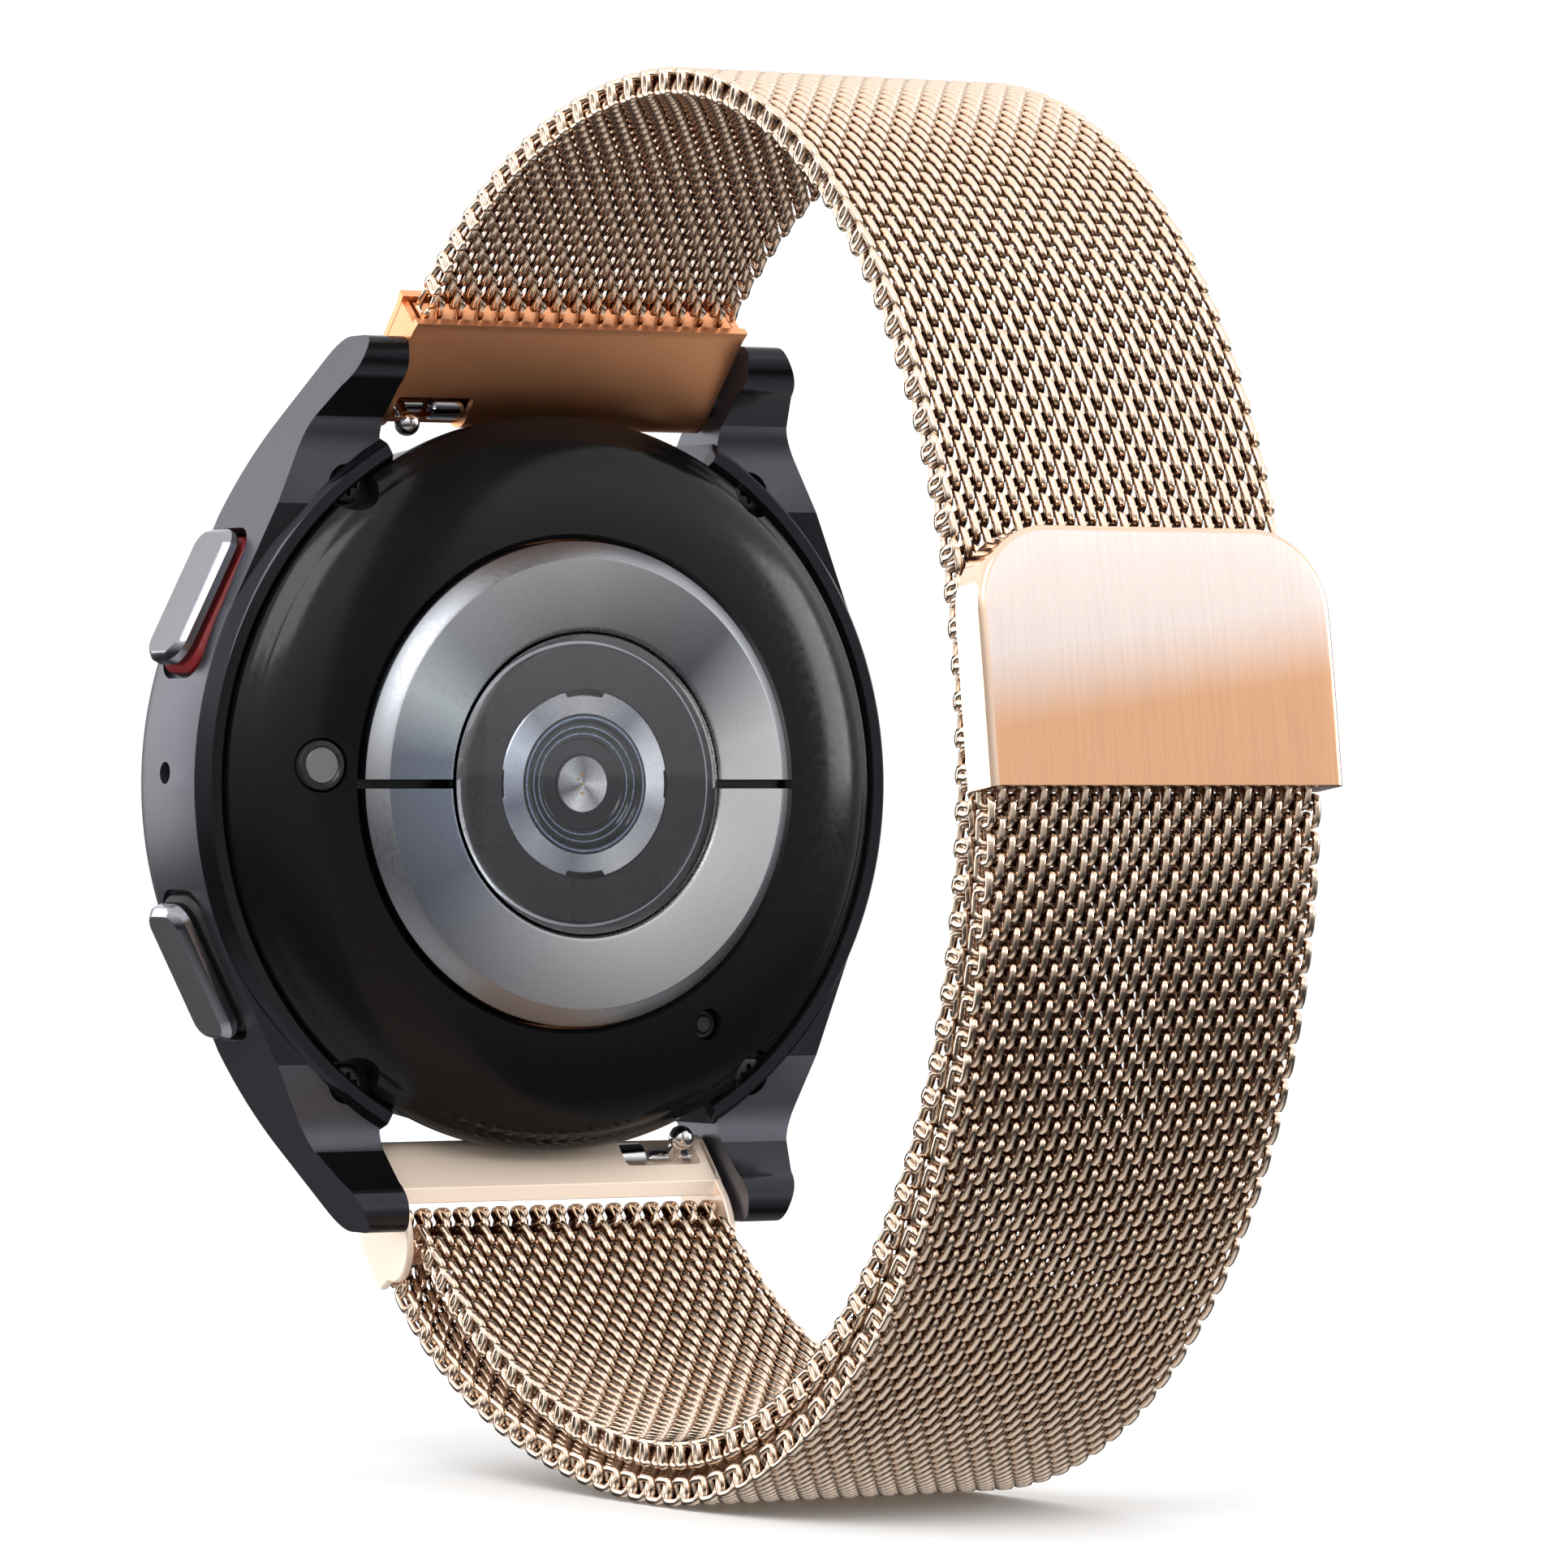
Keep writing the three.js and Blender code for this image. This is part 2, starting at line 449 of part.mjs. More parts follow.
// A helix of a square wire, as the spring in a bar's tube.
class Helix extends THREE.Curve {
  constructor(radius, length, turns) {
    super();
    Object.assign(this, { radius, length, turns });
  }
  getPoint(t, target = new THREE.Vector3()) {
    const angle = t * this.turns * 2 * Math.PI;
    return target.set(t * this.length, this.radius * Math.cos(angle), this.radius * Math.sin(angle));
  }
}

// A spring bar on the X axis. Its release pin and knob are on the side given, +1 or -1, and the knob points
// towards the wrist.
function buildSpringBar(name, side, wristward, parent) {
  const half = END_WIDTH / 2 - 0.4;
  const pinEnd = LUG_GAP / 2 + PIN_REACH;
  const knobPlace = half - KNOB_INSET;
  const pinStart = knobPlace - 1.5;
  const slot = [knobPlace - RELEASE_TRAVEL - 0.75, knobPlace + 0.75];
  const [low, high] = wristward > 0 ? [0, 3] : [-3, 0];
  const tube = rodX(TUBE_RADIUS, [-half, half])
    .subtract(rodX(TUBE_BORE, [-half - 1, half + 1]))
    .subtract(box(slot, [-0.62, 0.62], [low, high]));
  const ball = new THREE.SphereGeometry(KNOB_RADIUS, 12, 8);
  const knob = solidOf(ball.translate(knobPlace, 0, wristward * KNOB_REACH));
  const leverReach = KNOB_REACH - 0.3;
  const leverSpan = wristward > 0 ? [0, leverReach] : [-leverReach, 0];
  const lever = box([knobPlace - 0.35, knobPlace + 0.35], [-0.35, 0.35], leverSpan);
  const release = rodX(PIN_RADIUS, [pinStart, pinEnd]).add(lever).add(knob);
  const spring = new Helix(0.34, 2.6, 5);
  const wire = polygon([[-0.09, -0.09], [0.09, -0.09], [0.09, 0.09], [-0.09, 0.09]]);
  const wound = new THREE.ExtrudeGeometry(wire, { steps: 35, extrudePath: spring, bevelEnabled: false });
  const coil = solidOf(wound.translate(pinStart - 0.3 - spring.length, 0, 0));
  const turn = (solid) => (side > 0 ? solid : solid.scale([-1, 1, 1]));
  piece(`${name}_bar_tube`, turn(tube), STEEL, parent);
  piece(`${name}_bar_release_pin`, turn(release), STEEL, parent);
  piece(`${name}_bar_fixed_pin`, turn(rodX(PIN_RADIUS, [-pinEnd, -half + 2])), STEEL, parent);
  piece(`${name}_bar_spring`, turn(coil), STEEL, parent);
  return slot;
}

// ---------------------------------------------------------------- strap

const slope = rad(END_ANGLE);
const along = [Math.cos(slope), Math.sin(slope)];
const mouth = [BAR_DEPTH + CLAMP_LENGTH * along[0], BAR_HEIGHT + CLAMP_LENGTH * along[1]];
// The bar that the strap folds over, in Y and Z
const foldBar = [
  BAR_DEPTH + FOLD_BAR_OFFSET[0] * along[0] + FOLD_BAR_OFFSET[1] * along[1],
  -BAR_HEIGHT - FOLD_BAR_OFFSET[0] * along[1] + FOLD_BAR_OFFSET[1] * along[0],
];
const foldRadius = FOLD_BAR_RADIUS + CLEARANCE + STRAP_THICKNESS / 2;

// The slope of an arc that starts at a point and is level at the loop's highest or lowest point
const arcSlope = ([y, z], level) => 2 * Math.atan2(level - Math.abs(z), APEX_DEPTH - y);

// The single layer: an arc from the clamp up to the top, half of a round loop, and an arc down to the fold.
const upperSlope = arcSlope(mouth, LOOP_TOP);
const upperArc = (APEX_DEPTH - mouth[0]) / Math.sin(upperSlope);
let lowerSlope = slope;
let foldStart = foldBar;
for (let round = 0; round < 12; round++) {
  const [away, over] = [Math.sin(lowerSlope), Math.cos(lowerSlope)];
  foldStart = [foldBar[0] + foldRadius * away, foldBar[1] + foldRadius * over];
  lowerSlope = arcSlope(foldStart, LOOP_BOTTOM);
}
const lowerArc = (APEX_DEPTH - foldStart[0]) / Math.sin(lowerSlope);
const innerLine = new THREE.CurvePath();
innerLine.add(new THREE.EllipseCurve(
  APEX_DEPTH, LOOP_TOP - upperArc, upperArc, upperArc, rad(90) + upperSlope, rad(90), true));
innerLine.add(new THREE.EllipseCurve(APEX_DEPTH, 0, LOOP_REACH, LOOP_TOP, rad(90), 0, true));
innerLine.add(new THREE.EllipseCurve(APEX_DEPTH, 0, LOOP_REACH, LOOP_BOTTOM, 0, rad(-90), true));
innerLine.add(new THREE.EllipseCurve(
  APEX_DEPTH, lowerArc - LOOP_BOTTOM, lowerArc, lowerArc, rad(-90), rad(-90) - lowerSlope, true));

// The second layer: round the fold bar, away from the first layer and back to it, and up the outside.
const tailSlope = rad(TAIL_ANGLE);
const outerBottom = LOOP_BOTTOM + LAYER_PITCH;
const tailWay = [Math.cos(tailSlope), -Math.sin(tailSlope)];
const tailStart = [foldBar[0] + foldRadius * tailWay[1], foldBar[1] - foldRadius * tailWay[0]];
const tailRun = APEX_DEPTH - tailStart[0];
const outerLine = new THREE.CurvePath();
outerLine.add(new THREE.EllipseCurve(
  ...foldBar, foldRadius, foldRadius, rad(90) - lowerSlope, rad(270) - tailSlope, false));
outerLine.add(new THREE.CubicBezierCurve(
  new THREE.Vector2(...tailStart),
  new THREE.Vector2(tailStart[0] + tailRun * 0.2 * tailWay[0], tailStart[1] + tailRun * 0.2 * tailWay[1]),
  new THREE.Vector2(APEX_DEPTH - tailRun * 0.5, -outerBottom),
  new THREE.Vector2(APEX_DEPTH, -outerBottom)));
outerLine.add(new THREE.EllipseCurve(
  APEX_DEPTH, 0, LOOP_REACH + LAYER_PITCH, outerBottom, rad(-90), 0, false));

// A length of strap between two distances along a line, as one curved slab.
function strapLength(line, from, to) {
  const total = line.getLength();
  const half = STRAP_THICKNESS / 2;
  const [a, b] = [from + ROW_GAP / 2, to - ROW_GAP / 2];
  const sharp = line === outerLine && from < 1;
  const steps = Math.max(3, Math.round((b - a) / (sharp ? 0.9 : 3.2)));
  const sides = [[], []];
  for (let i = 0; i <= steps; i++) {
    const t = (a + ((b - a) * i) / steps) / total;
    const middle = line.getPoint(t);
    const [before, after] = [line.getPoint(Math.max(0, t - 1e-3)), line.getPoint(Math.min(0.9999, t + 1e-3))];
    const tangent = after.sub(before).normalize();
    sides[0].push([middle.x - tangent.y * half, middle.y + tangent.x * half]);
    sides[1].unshift([middle.x + tangent.y * half, middle.y - tangent.x * half]);
  }
  return alongX(polygon(sides.flat()), [-STRAP_WIDTH / 2, STRAP_WIDTH / 2]);
}

// Shares of the rows in each length. The strap bends between two lengths, as it bends between any two rows.
const STRAP_SHARES = [9, 9, 9, 11, 13, 11, 9, 9, 8];
const TAIL_SHARES = [4, 8, 9, 9, 9, 10];

function buildLayer(prefix, line, shares, parent) {
  const rows = Math.floor(line.getLength() / ROW_PITCH);
  const whole = shares.reduce((sum, share) => sum + share, 0);
  const rowAt = (share) => Math.round((share / whole) * rows);
  let passed = 0;
  shares.forEach((share, i) => {
    const [from, to] = [rowAt(passed), rowAt(passed + share)];
    const name = `${prefix}_${String(i + 1).padStart(2, "0")}`;
    piece(name, strapLength(line, from * ROW_PITCH, to * ROW_PITCH), ROSE_GOLD, parent);
    passed += share;
  });
}

// The upper end piece: a folded clamp with a barrel for the spring bar and a slot for the strap.
function buildUpperEnd(parent) {
  const end = new THREE.Group();
  end.position.set(0, BAR_DEPTH, BAR_HEIGHT);
  end.rotation.x = slope;
  parent.add(end);
  const inside = BARREL_RADIUS - END_WALL;
  const outline = new THREE.Shape();
  outline.moveTo(CLAMP_LENGTH, -BARREL_RADIUS);
  outline.lineTo(0, -BARREL_RADIUS);
  outline.absarc(0, 0, BARREL_RADIUS, rad(270), rad(90), true);
  outline.lineTo(CLAMP_LENGTH, BARREL_RADIUS);
  outline.lineTo(CLAMP_LENGTH, inside);
  outline.lineTo(1.6, inside);
  outline.lineTo(1.6, -inside);
  outline.lineTo(CLAMP_LENGTH, -inside);
  const slot = buildSpringBar("upper", 1, -1, end);
  const window = box([slot[0] - WINDOW_MARGIN, END_WIDTH / 2 - WINDOW_EDGE], [-2, 1.5], [-3, -0.1]);
  const clamp = alongX(outline, [-END_WIDTH / 2, END_WIDTH / 2])
    .subtract(rodX(TUBE_RADIUS + CLEARANCE, [-END_WIDTH, END_WIDTH]))
    .subtract(window);
  piece("upper_end_clamp", clamp, ROSE_GOLD, end);
  const strip = box([-STRAP_WIDTH / 2, STRAP_WIDTH / 2], [1.9, CLAMP_LENGTH - 0.1], [-0.7, 0.7]);
  piece("strap_weld_strip", strip, ROSE_GOLD, end);
}

// The lower end piece: a barrel for the spring bar, two cheeks, and the bar that the strap folds over.
function buildLowerEnd(parent) {
  const end = new THREE.Group();
  end.position.set(0, BAR_DEPTH, -BAR_HEIGHT);
  end.rotation.x = -slope;
  parent.add(end);
  const [barY, barZ] = FOLD_BAR_OFFSET;
  const barrel = new THREE.Shape();
  barrel.moveTo(2.75, BARREL_RADIUS);
  barrel.lineTo(0, BARREL_RADIUS);
  barrel.absarc(0, 0, BARREL_RADIUS, rad(90), rad(290), false);
  barrel.lineTo(1.6, -1.0);
  barrel.lineTo(2.35, 0.0);
  barrel.lineTo(3.1, BARREL_RADIUS - 0.8);
  barrel.lineTo(3.4, BARREL_RADIUS - 0.5);
  const cheek = new THREE.Shape();
  cheek.moveTo(0, -BARREL_RADIUS);
  cheek.absarc(0, 0, BARREL_RADIUS, rad(270), rad(90), true);
  cheek.lineTo(barY - 1.2, BARREL_RADIUS);
  cheek.quadraticCurveTo(barY + 1.4, BARREL_RADIUS - 0.4, barY + 1.6, barZ);
  cheek.absarc(barY, barZ, 1.6, 0, rad(-60), true);
  cheek.lineTo(barY + 0.6, barZ - 2.4);
  cheek.lineTo(2.4, barZ - 2.4);
  const half = END_WIDTH / 2;
  const inner = STRAP_WIDTH / 2 + CLEARANCE;
  let frame = alongX(barrel, [-half, half]).add(rodX(FOLD_BAR_RADIUS, [-half + 0.1, half - 0.1], barY, barZ));
  for (const span of [[inner, half], [-half, -inner]]) frame = frame.add(alongX(cheek, span));
  const slot = buildSpringBar("lower", -1, 1, end);
  const window = box([WINDOW_EDGE - END_WIDTH / 2, WINDOW_MARGIN - slot[0]], [-2, 1.5], [0.1, 3]);
  frame = frame.subtract(rodX(TUBE_RADIUS + CLEARANCE, [-END_WIDTH, END_WIDTH])).subtract(window);
  piece("lower_end_frame", frame, ROSE_GOLD, end);
}

// ---------------------------------------------------------------- clasp

// The clasp's outline from behind: square at the bottom, with round upper corners, and shrunk by an inset.
function claspOutline(inset, bottom) {
  const half = CLASP_WIDTH / 2 - inset;
  const top = CLASP_HEIGHT - inset;
  const corner = CLASP_CORNER - inset;
  const shape = new THREE.Shape();
  shape.moveTo(-half, bottom);
  shape.lineTo(half, bottom);
  shape.absarc(half - corner, top - corner, corner, 0, rad(90));
  shape.absarc(corner - half, top - corner, corner, rad(90), rad(180));
  return shape;
}

function buildClasp(parent) {
  const clasp = new THREE.Group();
  const tilt = rad(CLASP_TILT);
  const [outerReach, outerTop] = [LOOP_REACH + STRAP_THICKNESS / 2, LOOP_TOP + STRAP_THICKNESS / 2];
  const touch = Math.atan((Math.tan(tilt) * outerTop) / outerReach);
  const contactY = APEX_DEPTH + outerReach * Math.cos(touch) + CLEARANCE;
  const contactZ = outerTop * Math.sin(touch);
  clasp.position.set(0, contactY + (contactZ + CLASP_DROP) * Math.tan(tilt), -CLASP_DROP);
  clasp.rotation.x = tilt;
  parent.add(clasp);
  const floor = CLASP_THICKNESS - CLASP_WALL;
  const shell = alongY(claspOutline(0, 0), [0, CLASP_THICKNESS])
    .subtract(alongY(claspOutline(CLASP_WALL, -1), [-1, floor]));
  piece("clasp_shell", shell, ROSE_GOLD, clasp);
  const clear = CLASP_WALL + CLEARANCE;
  piece("clasp_liner", alongY(claspOutline(clear, 0.3), [0.02, 0.3]), ROSE_GOLD, clasp);
  const magnet = alongY(claspOutline(clear + 0.2, 2.8), [0.45, floor - CLEARANCE]);
  piece("clasp_magnet", magnet, MAGNET_GREY, clasp);
  const crimpHalf = CLASP_WIDTH / 2 - clear;
  const crimp = box([-crimpHalf, crimpHalf], [0.45, floor - CLEARANCE], [0.3, 2.5]);
  piece("clasp_crimp_bar", crimp, ROSE_GOLD, clasp);
}

// ---------------------------------------------------------------- the whole watch

const watch = new THREE.Group();
watch.add(buildHead());
const strap = new THREE.Group();
buildUpperEnd(strap);
buildLowerEnd(strap);
buildLayer("strap", innerLine, STRAP_SHARES, strap);
buildLayer("tail", outerLine, TAIL_SHARES, strap);
buildClasp(strap);
watch.add(strap);

export default watch;
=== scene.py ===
"""A round smartwatch on a woven metal loop strap.

The frame's origin is the middle of the sensor window, +Y points to the wrist, +Z to 12 o'clock and +X to the
buttons. Sizes here are millimetres, and become metres where a mesh is made.
"""

import logging
import math
from dataclasses import dataclass, field, replace
from enum import Enum

import bmesh
import bpy
import numpy as np
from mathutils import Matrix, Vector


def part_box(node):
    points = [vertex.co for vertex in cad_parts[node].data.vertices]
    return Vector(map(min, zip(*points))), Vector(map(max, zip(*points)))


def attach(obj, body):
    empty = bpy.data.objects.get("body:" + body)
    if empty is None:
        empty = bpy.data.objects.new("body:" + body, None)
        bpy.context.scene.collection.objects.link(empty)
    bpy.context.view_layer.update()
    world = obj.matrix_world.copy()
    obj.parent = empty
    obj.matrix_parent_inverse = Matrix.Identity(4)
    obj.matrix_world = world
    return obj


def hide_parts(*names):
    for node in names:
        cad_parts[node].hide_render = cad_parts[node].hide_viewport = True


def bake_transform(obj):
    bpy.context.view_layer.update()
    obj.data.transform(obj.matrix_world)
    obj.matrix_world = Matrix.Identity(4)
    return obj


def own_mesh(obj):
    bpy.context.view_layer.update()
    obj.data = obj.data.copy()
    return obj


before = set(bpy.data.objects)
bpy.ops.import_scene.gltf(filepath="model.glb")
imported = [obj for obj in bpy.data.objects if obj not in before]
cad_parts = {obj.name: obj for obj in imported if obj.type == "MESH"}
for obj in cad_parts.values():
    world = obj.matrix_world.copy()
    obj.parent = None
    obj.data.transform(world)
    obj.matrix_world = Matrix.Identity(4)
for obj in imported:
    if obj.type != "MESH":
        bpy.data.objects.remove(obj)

LOG = logging.getLogger("watch")
MM = 0.001
CLEARANCE = 0.15
SHARP = 32.0  # degrees between two faces, above which their edge stays crisp

Pair = tuple[float, float]
Triple = tuple[float, float, float]
Piece = bpy.types.Object
Tree = bpy.types.NodeTree
Socket = bpy.types.NodeSocket


# ---------------------------------------------------------------- finishes


class Grain(Enum):
    """Which way a finish's fine marks run: how far the noise is stretched along X, Y and Z."""

    SPECKLE = (1.0, 1.0, 1.0)
    ALONG_X = (0.015, 1.0, 1.0)
    ALONG_Z = (1.0, 0.05, 0.015)
    ALONG_RIM = (0.03, 1.0, 0.03)


@dataclass(frozen=True)
class Finish:
    """One finish: a shader whose roughness, tone and relief follow a fine noise.

    The noise is stretched by the grain, so it gives brushing, blasting or the marks of wear.
    """

    name: str
    colour: Triple
    roughness: float
    metallic: float = 0.0
    grain: Grain = Grain.SPECKLE
    grain_size: float = 0.08
    relief: float = 0.05
    roughness_spread: float = 0.05
    tone_spread: float = 0.05
    coat: float = 0.0
    clear: bool = False
    specular: float = 0.5

    def material(self) -> bpy.types.Material:
        """Makes the material, or finds it if it is made.

        Returns:
            The Blender material with this finish's name.
        """
        made = bpy.data.materials.get(f"look_{self.name}")
        if made is not None:
            return made
        made = bpy.data.materials.new(f"look_{self.name}")
        made.use_nodes = True
        tree = made.node_tree
        surface = tree.nodes["Principled BSDF"]
        surface.inputs["Metallic"].default_value = self.metallic
        surface.inputs["Coat Weight"].default_value = self.coat
        surface.inputs["Coat Roughness"].default_value = 0.03
        surface.inputs["Specular IOR Level"].default_value = self.specular
        if self.clear:
            surface.inputs["Transmission Weight"].default_value = 1.0
            surface.inputs["IOR"].default_value = 1.45
        marks = self.noise(tree, 1.0 / (self.grain_size * MM), 3.0)
        patches = self.noise(tree, 1.0 / (40.0 * self.grain_size * MM), 2.0)
        self.spread(tree, marks, surface.inputs["Roughness"])
        self.tint(tree, patches, surface.inputs["Base Color"])
        bump = tree.nodes.new("ShaderNodeBump")
        bump.inputs["Strength"].default_value = self.relief
        bump.inputs["Distance"].default_value = self.grain_size * MM * 0.5
        tree.links.new(marks, bump.inputs["Height"])
        tree.links.new(bump.outputs["Normal"], surface.inputs["Normal"])
        return made

    def noise(self, tree: Tree, scale: float, detail: float) -> Socket:
        """A noise over the object's own coordinates, stretched by the grain.

        Args:
            tree: The material's nodes.
            scale: Marks to a metre.
            detail: Octaves of the noise.

        Returns:
            The noise's value, about one half.
        """
        place = tree.nodes.new("ShaderNodeTexCoord")
        stretch = tree.nodes.new("ShaderNodeMapping")
        stretch.inputs["Scale"].default_value = [scale * way for way in self.grain.value]
        texture = tree.nodes.new("ShaderNodeTexNoise")
        texture.inputs["Scale"].default_value = 1.0
        texture.inputs["Detail"].default_value = detail
        tree.links.new(place.outputs["Object"], stretch.inputs["Vector"])
        tree.links.new(stretch.outputs["Vector"], texture.inputs["Vector"])
        return texture.outputs["Fac"]

    def spread(self, tree: Tree, marks: Socket, socket: Socket) -> None:
        """Roughness runs from a spread below the finish's own value to a spread above it."""
        lowest = max(0.01, self.roughness - self.roughness_spread)
        wanted = (lowest, self.roughness + self.roughness_spread)
        tree.links.new(mapped(tree, marks, (0.3, 0.7), wanted), socket)

    def tint(self, tree: Tree, patches: Socket, socket: Socket) -> None:
        """Colour runs between a slightly darker and a slightly lighter tone."""
        mixed = tree.nodes.new("ShaderNodeMix")
        mixed.data_type = "RGBA"
        low, high = 1.0 - self.tone_spread, 1.0 + self.tone_spread
        mixed.inputs["A"].default_value = [*(c * low for c in self.colour), 1.0]
        mixed.inputs["B"].default_value = [*(min(1.0, c * high) for c in self.colour), 1.0]
        tree.links.new(patches, mixed.inputs["Factor"])
        tree.links.new(mixed.outputs["Result"], socket)


@dataclass(frozen=True)
class PaintedTurnedFinish(Finish):
    """Metal turned on a lathe, with a painted reflection: its tone changes with the angle round the watch's axis,
    as rays of painted highlight and shade that stand in for the streaks its circular grain reflects.

    Each ray is its angle in degrees from +X towards +Z,
    and its colour. The first and the last are the same ray.
    """

    painted_rays: tuple[tuple[float, Triple], ...] = ()

    def tint(self, tree: Tree, patches: Socket, socket: Socket) -> None:
        """Painted reflection: colour runs from ray to ray with the angle."""
        parts = coordinates(tree, "Object")
        angle = maths(tree, "ARCTAN2", parts["Z"], parts["X"])
        share = maths(tree, "MULTIPLY_ADD", angle, 0.5 / math.pi, 0.5)
        stops = [((turn + 180) / 360, tone) for turn, tone in self.painted_rays]
        tree.links.new(share, colour_ramp(tree, stops, socket))


@dataclass(frozen=True)
class PaintedReflectionFinish(Finish):
    """A finish with a painted reflection: its tone changes up the piece, pale above and deeper below, along a
    slanted line, between two heights in millimetres.
    """

    # low: the deeper tone at the foot, below the painted reflection's pale head.
    low: Triple = (0.8, 0.5, 0.3)
    foot: float = 0.0
    head: float = 10.0
    slant: float = 0.14
    streaks: float = 0.045

    def tint(self, tree: Tree, patches: Socket, socket: Socket) -> None:
        """Painted reflection: colour runs from the low tone at the foot to the finish's own, paler one at the
        head.
        """
        parts = coordinates(tree, "Object")
        across = maths(tree, "MULTIPLY", parts["X"], self.slant)
        level = maths(tree, "ADD", parts["Z"], across)
        height = mapped(tree, level, (self.foot * MM, self.head * MM))
        bright = tuple(min(1.0, 0.6 * c + 0.42 * d) for c, d in zip(self.colour, self.low))
        streaked = tree.nodes.new("ShaderNodeMix")
        streaked.data_type = "RGBA"
        streaked.blend_type = "MULTIPLY"
        streaked.inputs["Factor"].default_value = self.streaks * 4
        stops = [(0.0, self.low), (0.32, self.low), (0.54, bright), (0.72, self.colour), (1.0, self.colour)]
        tree.links.new(height, colour_ramp(tree, stops, streaked.inputs["A"]))
        tree.links.new(self.noise(tree, 8.0 / MM, 2.0), streaked.inputs["B"])
        tree.links.new(streaked.outputs["Result"], socket)


@dataclass(frozen=True)
class PaintedShadeWireFinish(Finish):
    """Woven wire with painted shade: its own colour where it stands at the strap's faces and edges, and painted
    dark brown shade down between the rows.

    It reads the mesh's own attribute of painted shade, which is 1 at the faces and the edges and 0 in the middle.
    """

    # deep: the painted shade's dark brown, down between the rows.
    deep: Triple = (0.15, 0.06, 0.03)

    def tint(self, tree: Tree, patches: Socket, socket: Socket) -> None:
        """Painted shade: colour runs from the deep tone to the finish's own as the wire stands out."""
        painted_shade_mask = tree.nodes.new("ShaderNodeAttribute")
        painted_shade_mask.attribute_name = "painted_shade_mask"
        middle = tuple(0.45 * c + 0.55 * d for c, d in zip(self.colour, self.deep))
        stops = [(0.25, self.deep), (0.62, middle), (0.85, self.colour)]
        tree.links.new(painted_shade_mask.outputs["Fac"], colour_ramp(tree, stops, socket))


def colour_ramp(tree: Tree, stops: list[tuple[float, Triple]], socket: Socket) -> Socket:
    """A ramp of colours that feeds a socket.

    Args:
        tree: The nodes it goes into.
        stops: Places from 0 to 1 in order, with their colours.
        socket: Where its colour goes.

    Returns:
        The socket its share goes into.
    """
    ramp = tree.nodes.new("ShaderNodeValToRGB")
    elements = ramp.color_ramp.elements
    for i, (position, colour) in enumerate(stops):
        stop = elements[i] if i < 2 else elements.new(position)
        stop.position = position
        stop.color = (*colour, 1.0)
    tree.links.new(ramp.outputs["Color"], socket)
    return ramp.inputs["Fac"]


def coordinates(tree: Tree, kind: str) -> bpy.types.bpy_prop_collection:
    """X, Y and Z of a kind of texture coordinate, as the outputs of one node."""
    place_node = tree.nodes.new("ShaderNodeTexCoord")
    parts = tree.nodes.new("ShaderNodeSeparateXYZ")
    tree.links.new(place_node.outputs[kind], parts.inputs["Vector"])
    return parts.outputs


def mapped(tree: Tree, value: Socket, found: Pair, wanted: Pair = (0.0, 1.0)) -> Socket:
    """A value carried from the range it is found in to the range wanted, and held at its ends."""
    node = tree.nodes.new("ShaderNodeMapRange")
    for name, number in zip(("From Min", "From Max", "To Min", "To Max"), (*found, *wanted)):
        node.inputs[name].default_value = number
    tree.links.new(value, node.inputs["Value"])
    return node.outputs["Result"]


def maths(tree: Tree, operation: str, *values: float | Socket) -> Socket:
    """A maths node's output, from inputs that are numbers or other nodes' outputs."""
    node = tree.nodes.new("ShaderNodeMath")
    node.operation = operation
    for socket, value in zip(node.inputs, values):
        if isinstance(value, (int, float)):
            socket.default_value = value
        else:
            tree.links.new(value, socket)
    return node.outputs[0]


# Rose gold wire, whose colour carries painted dark brown shade down between the rows.
ROSE_WIRE_PAINTED_SHADE = PaintedShadeWireFinish("rose_wire_painted_shade", (0.96, 0.75, 0.58), 0.15, 1.0, grain_size=0.15, relief=0.04)
ROSE_PLATE = Finish("rose_plate", (0.95, 0.44, 0.22), 0.38, 1.0, grain_size=0.05, relief=0.02)
ROSE_POLISH = Finish("rose_polish", (0.93, 0.68, 0.52), 0.12, 1.0, grain_size=0.2, relief=0.01)
# A lighter, half-metal copy of the rose steel for the lower barrel and cheeks: painted light, since they mostly
# mirror the dark watch head above.
ROSE_SATIN_PAINTED_LIGHT = Finish("rose_satin_painted_light", (0.98, 0.80, 0.66), 0.40, 0.5, Grain.ALONG_X, 0.05, 0.04)
# Brushed rose gold with a painted reflection: pale at the top, more golden at the foot.
ROSE_BRUSHED_PAINTED_REFLECTION = PaintedReflectionFinish(
    "rose_brushed_painted_reflection", (1.0, 0.86, 0.80), 0.24, 1.0, Grain.ALONG_Z, 0.07, 0.06, 0.05, low=(0.96, 0.53, 0.31)
)
GRAPHITE = Finish("graphite", (0.105, 0.105, 0.125), 0.34, 0.85, grain_size=0.06, relief=0.05)
# Darker, glossier graphite for the case's rear chamfer and the lugs' wrist-facing faces: partly their polished
# black finish, partly painted shade.
GRAPHITE_GLOSS_AND_SHADE = Finish("graphite_gloss_and_shade", (0.035, 0.035, 0.042), 0.12, 0.9, grain_size=0.1, relief=0.005)
GRAPHITE_EDGE = Finish("graphite_edge", (0.34, 0.34, 0.38), 0.16, 1.0, grain_size=0.1, relief=0.01)
BUTTON_FACE = Finish("button_face", (0.30, 0.30, 0.32), 0.5, 1.0, Grain.ALONG_RIM, 0.05, 0.15)
BLACK_COVER = Finish("black_cover", (0.004, 0.004, 0.005), 0.17, grain_size=0.4, relief=0.002, specular=0.25)
BLACK_PLASTIC = Finish("black_plastic", (0.012, 0.012, 0.013), 0.35)
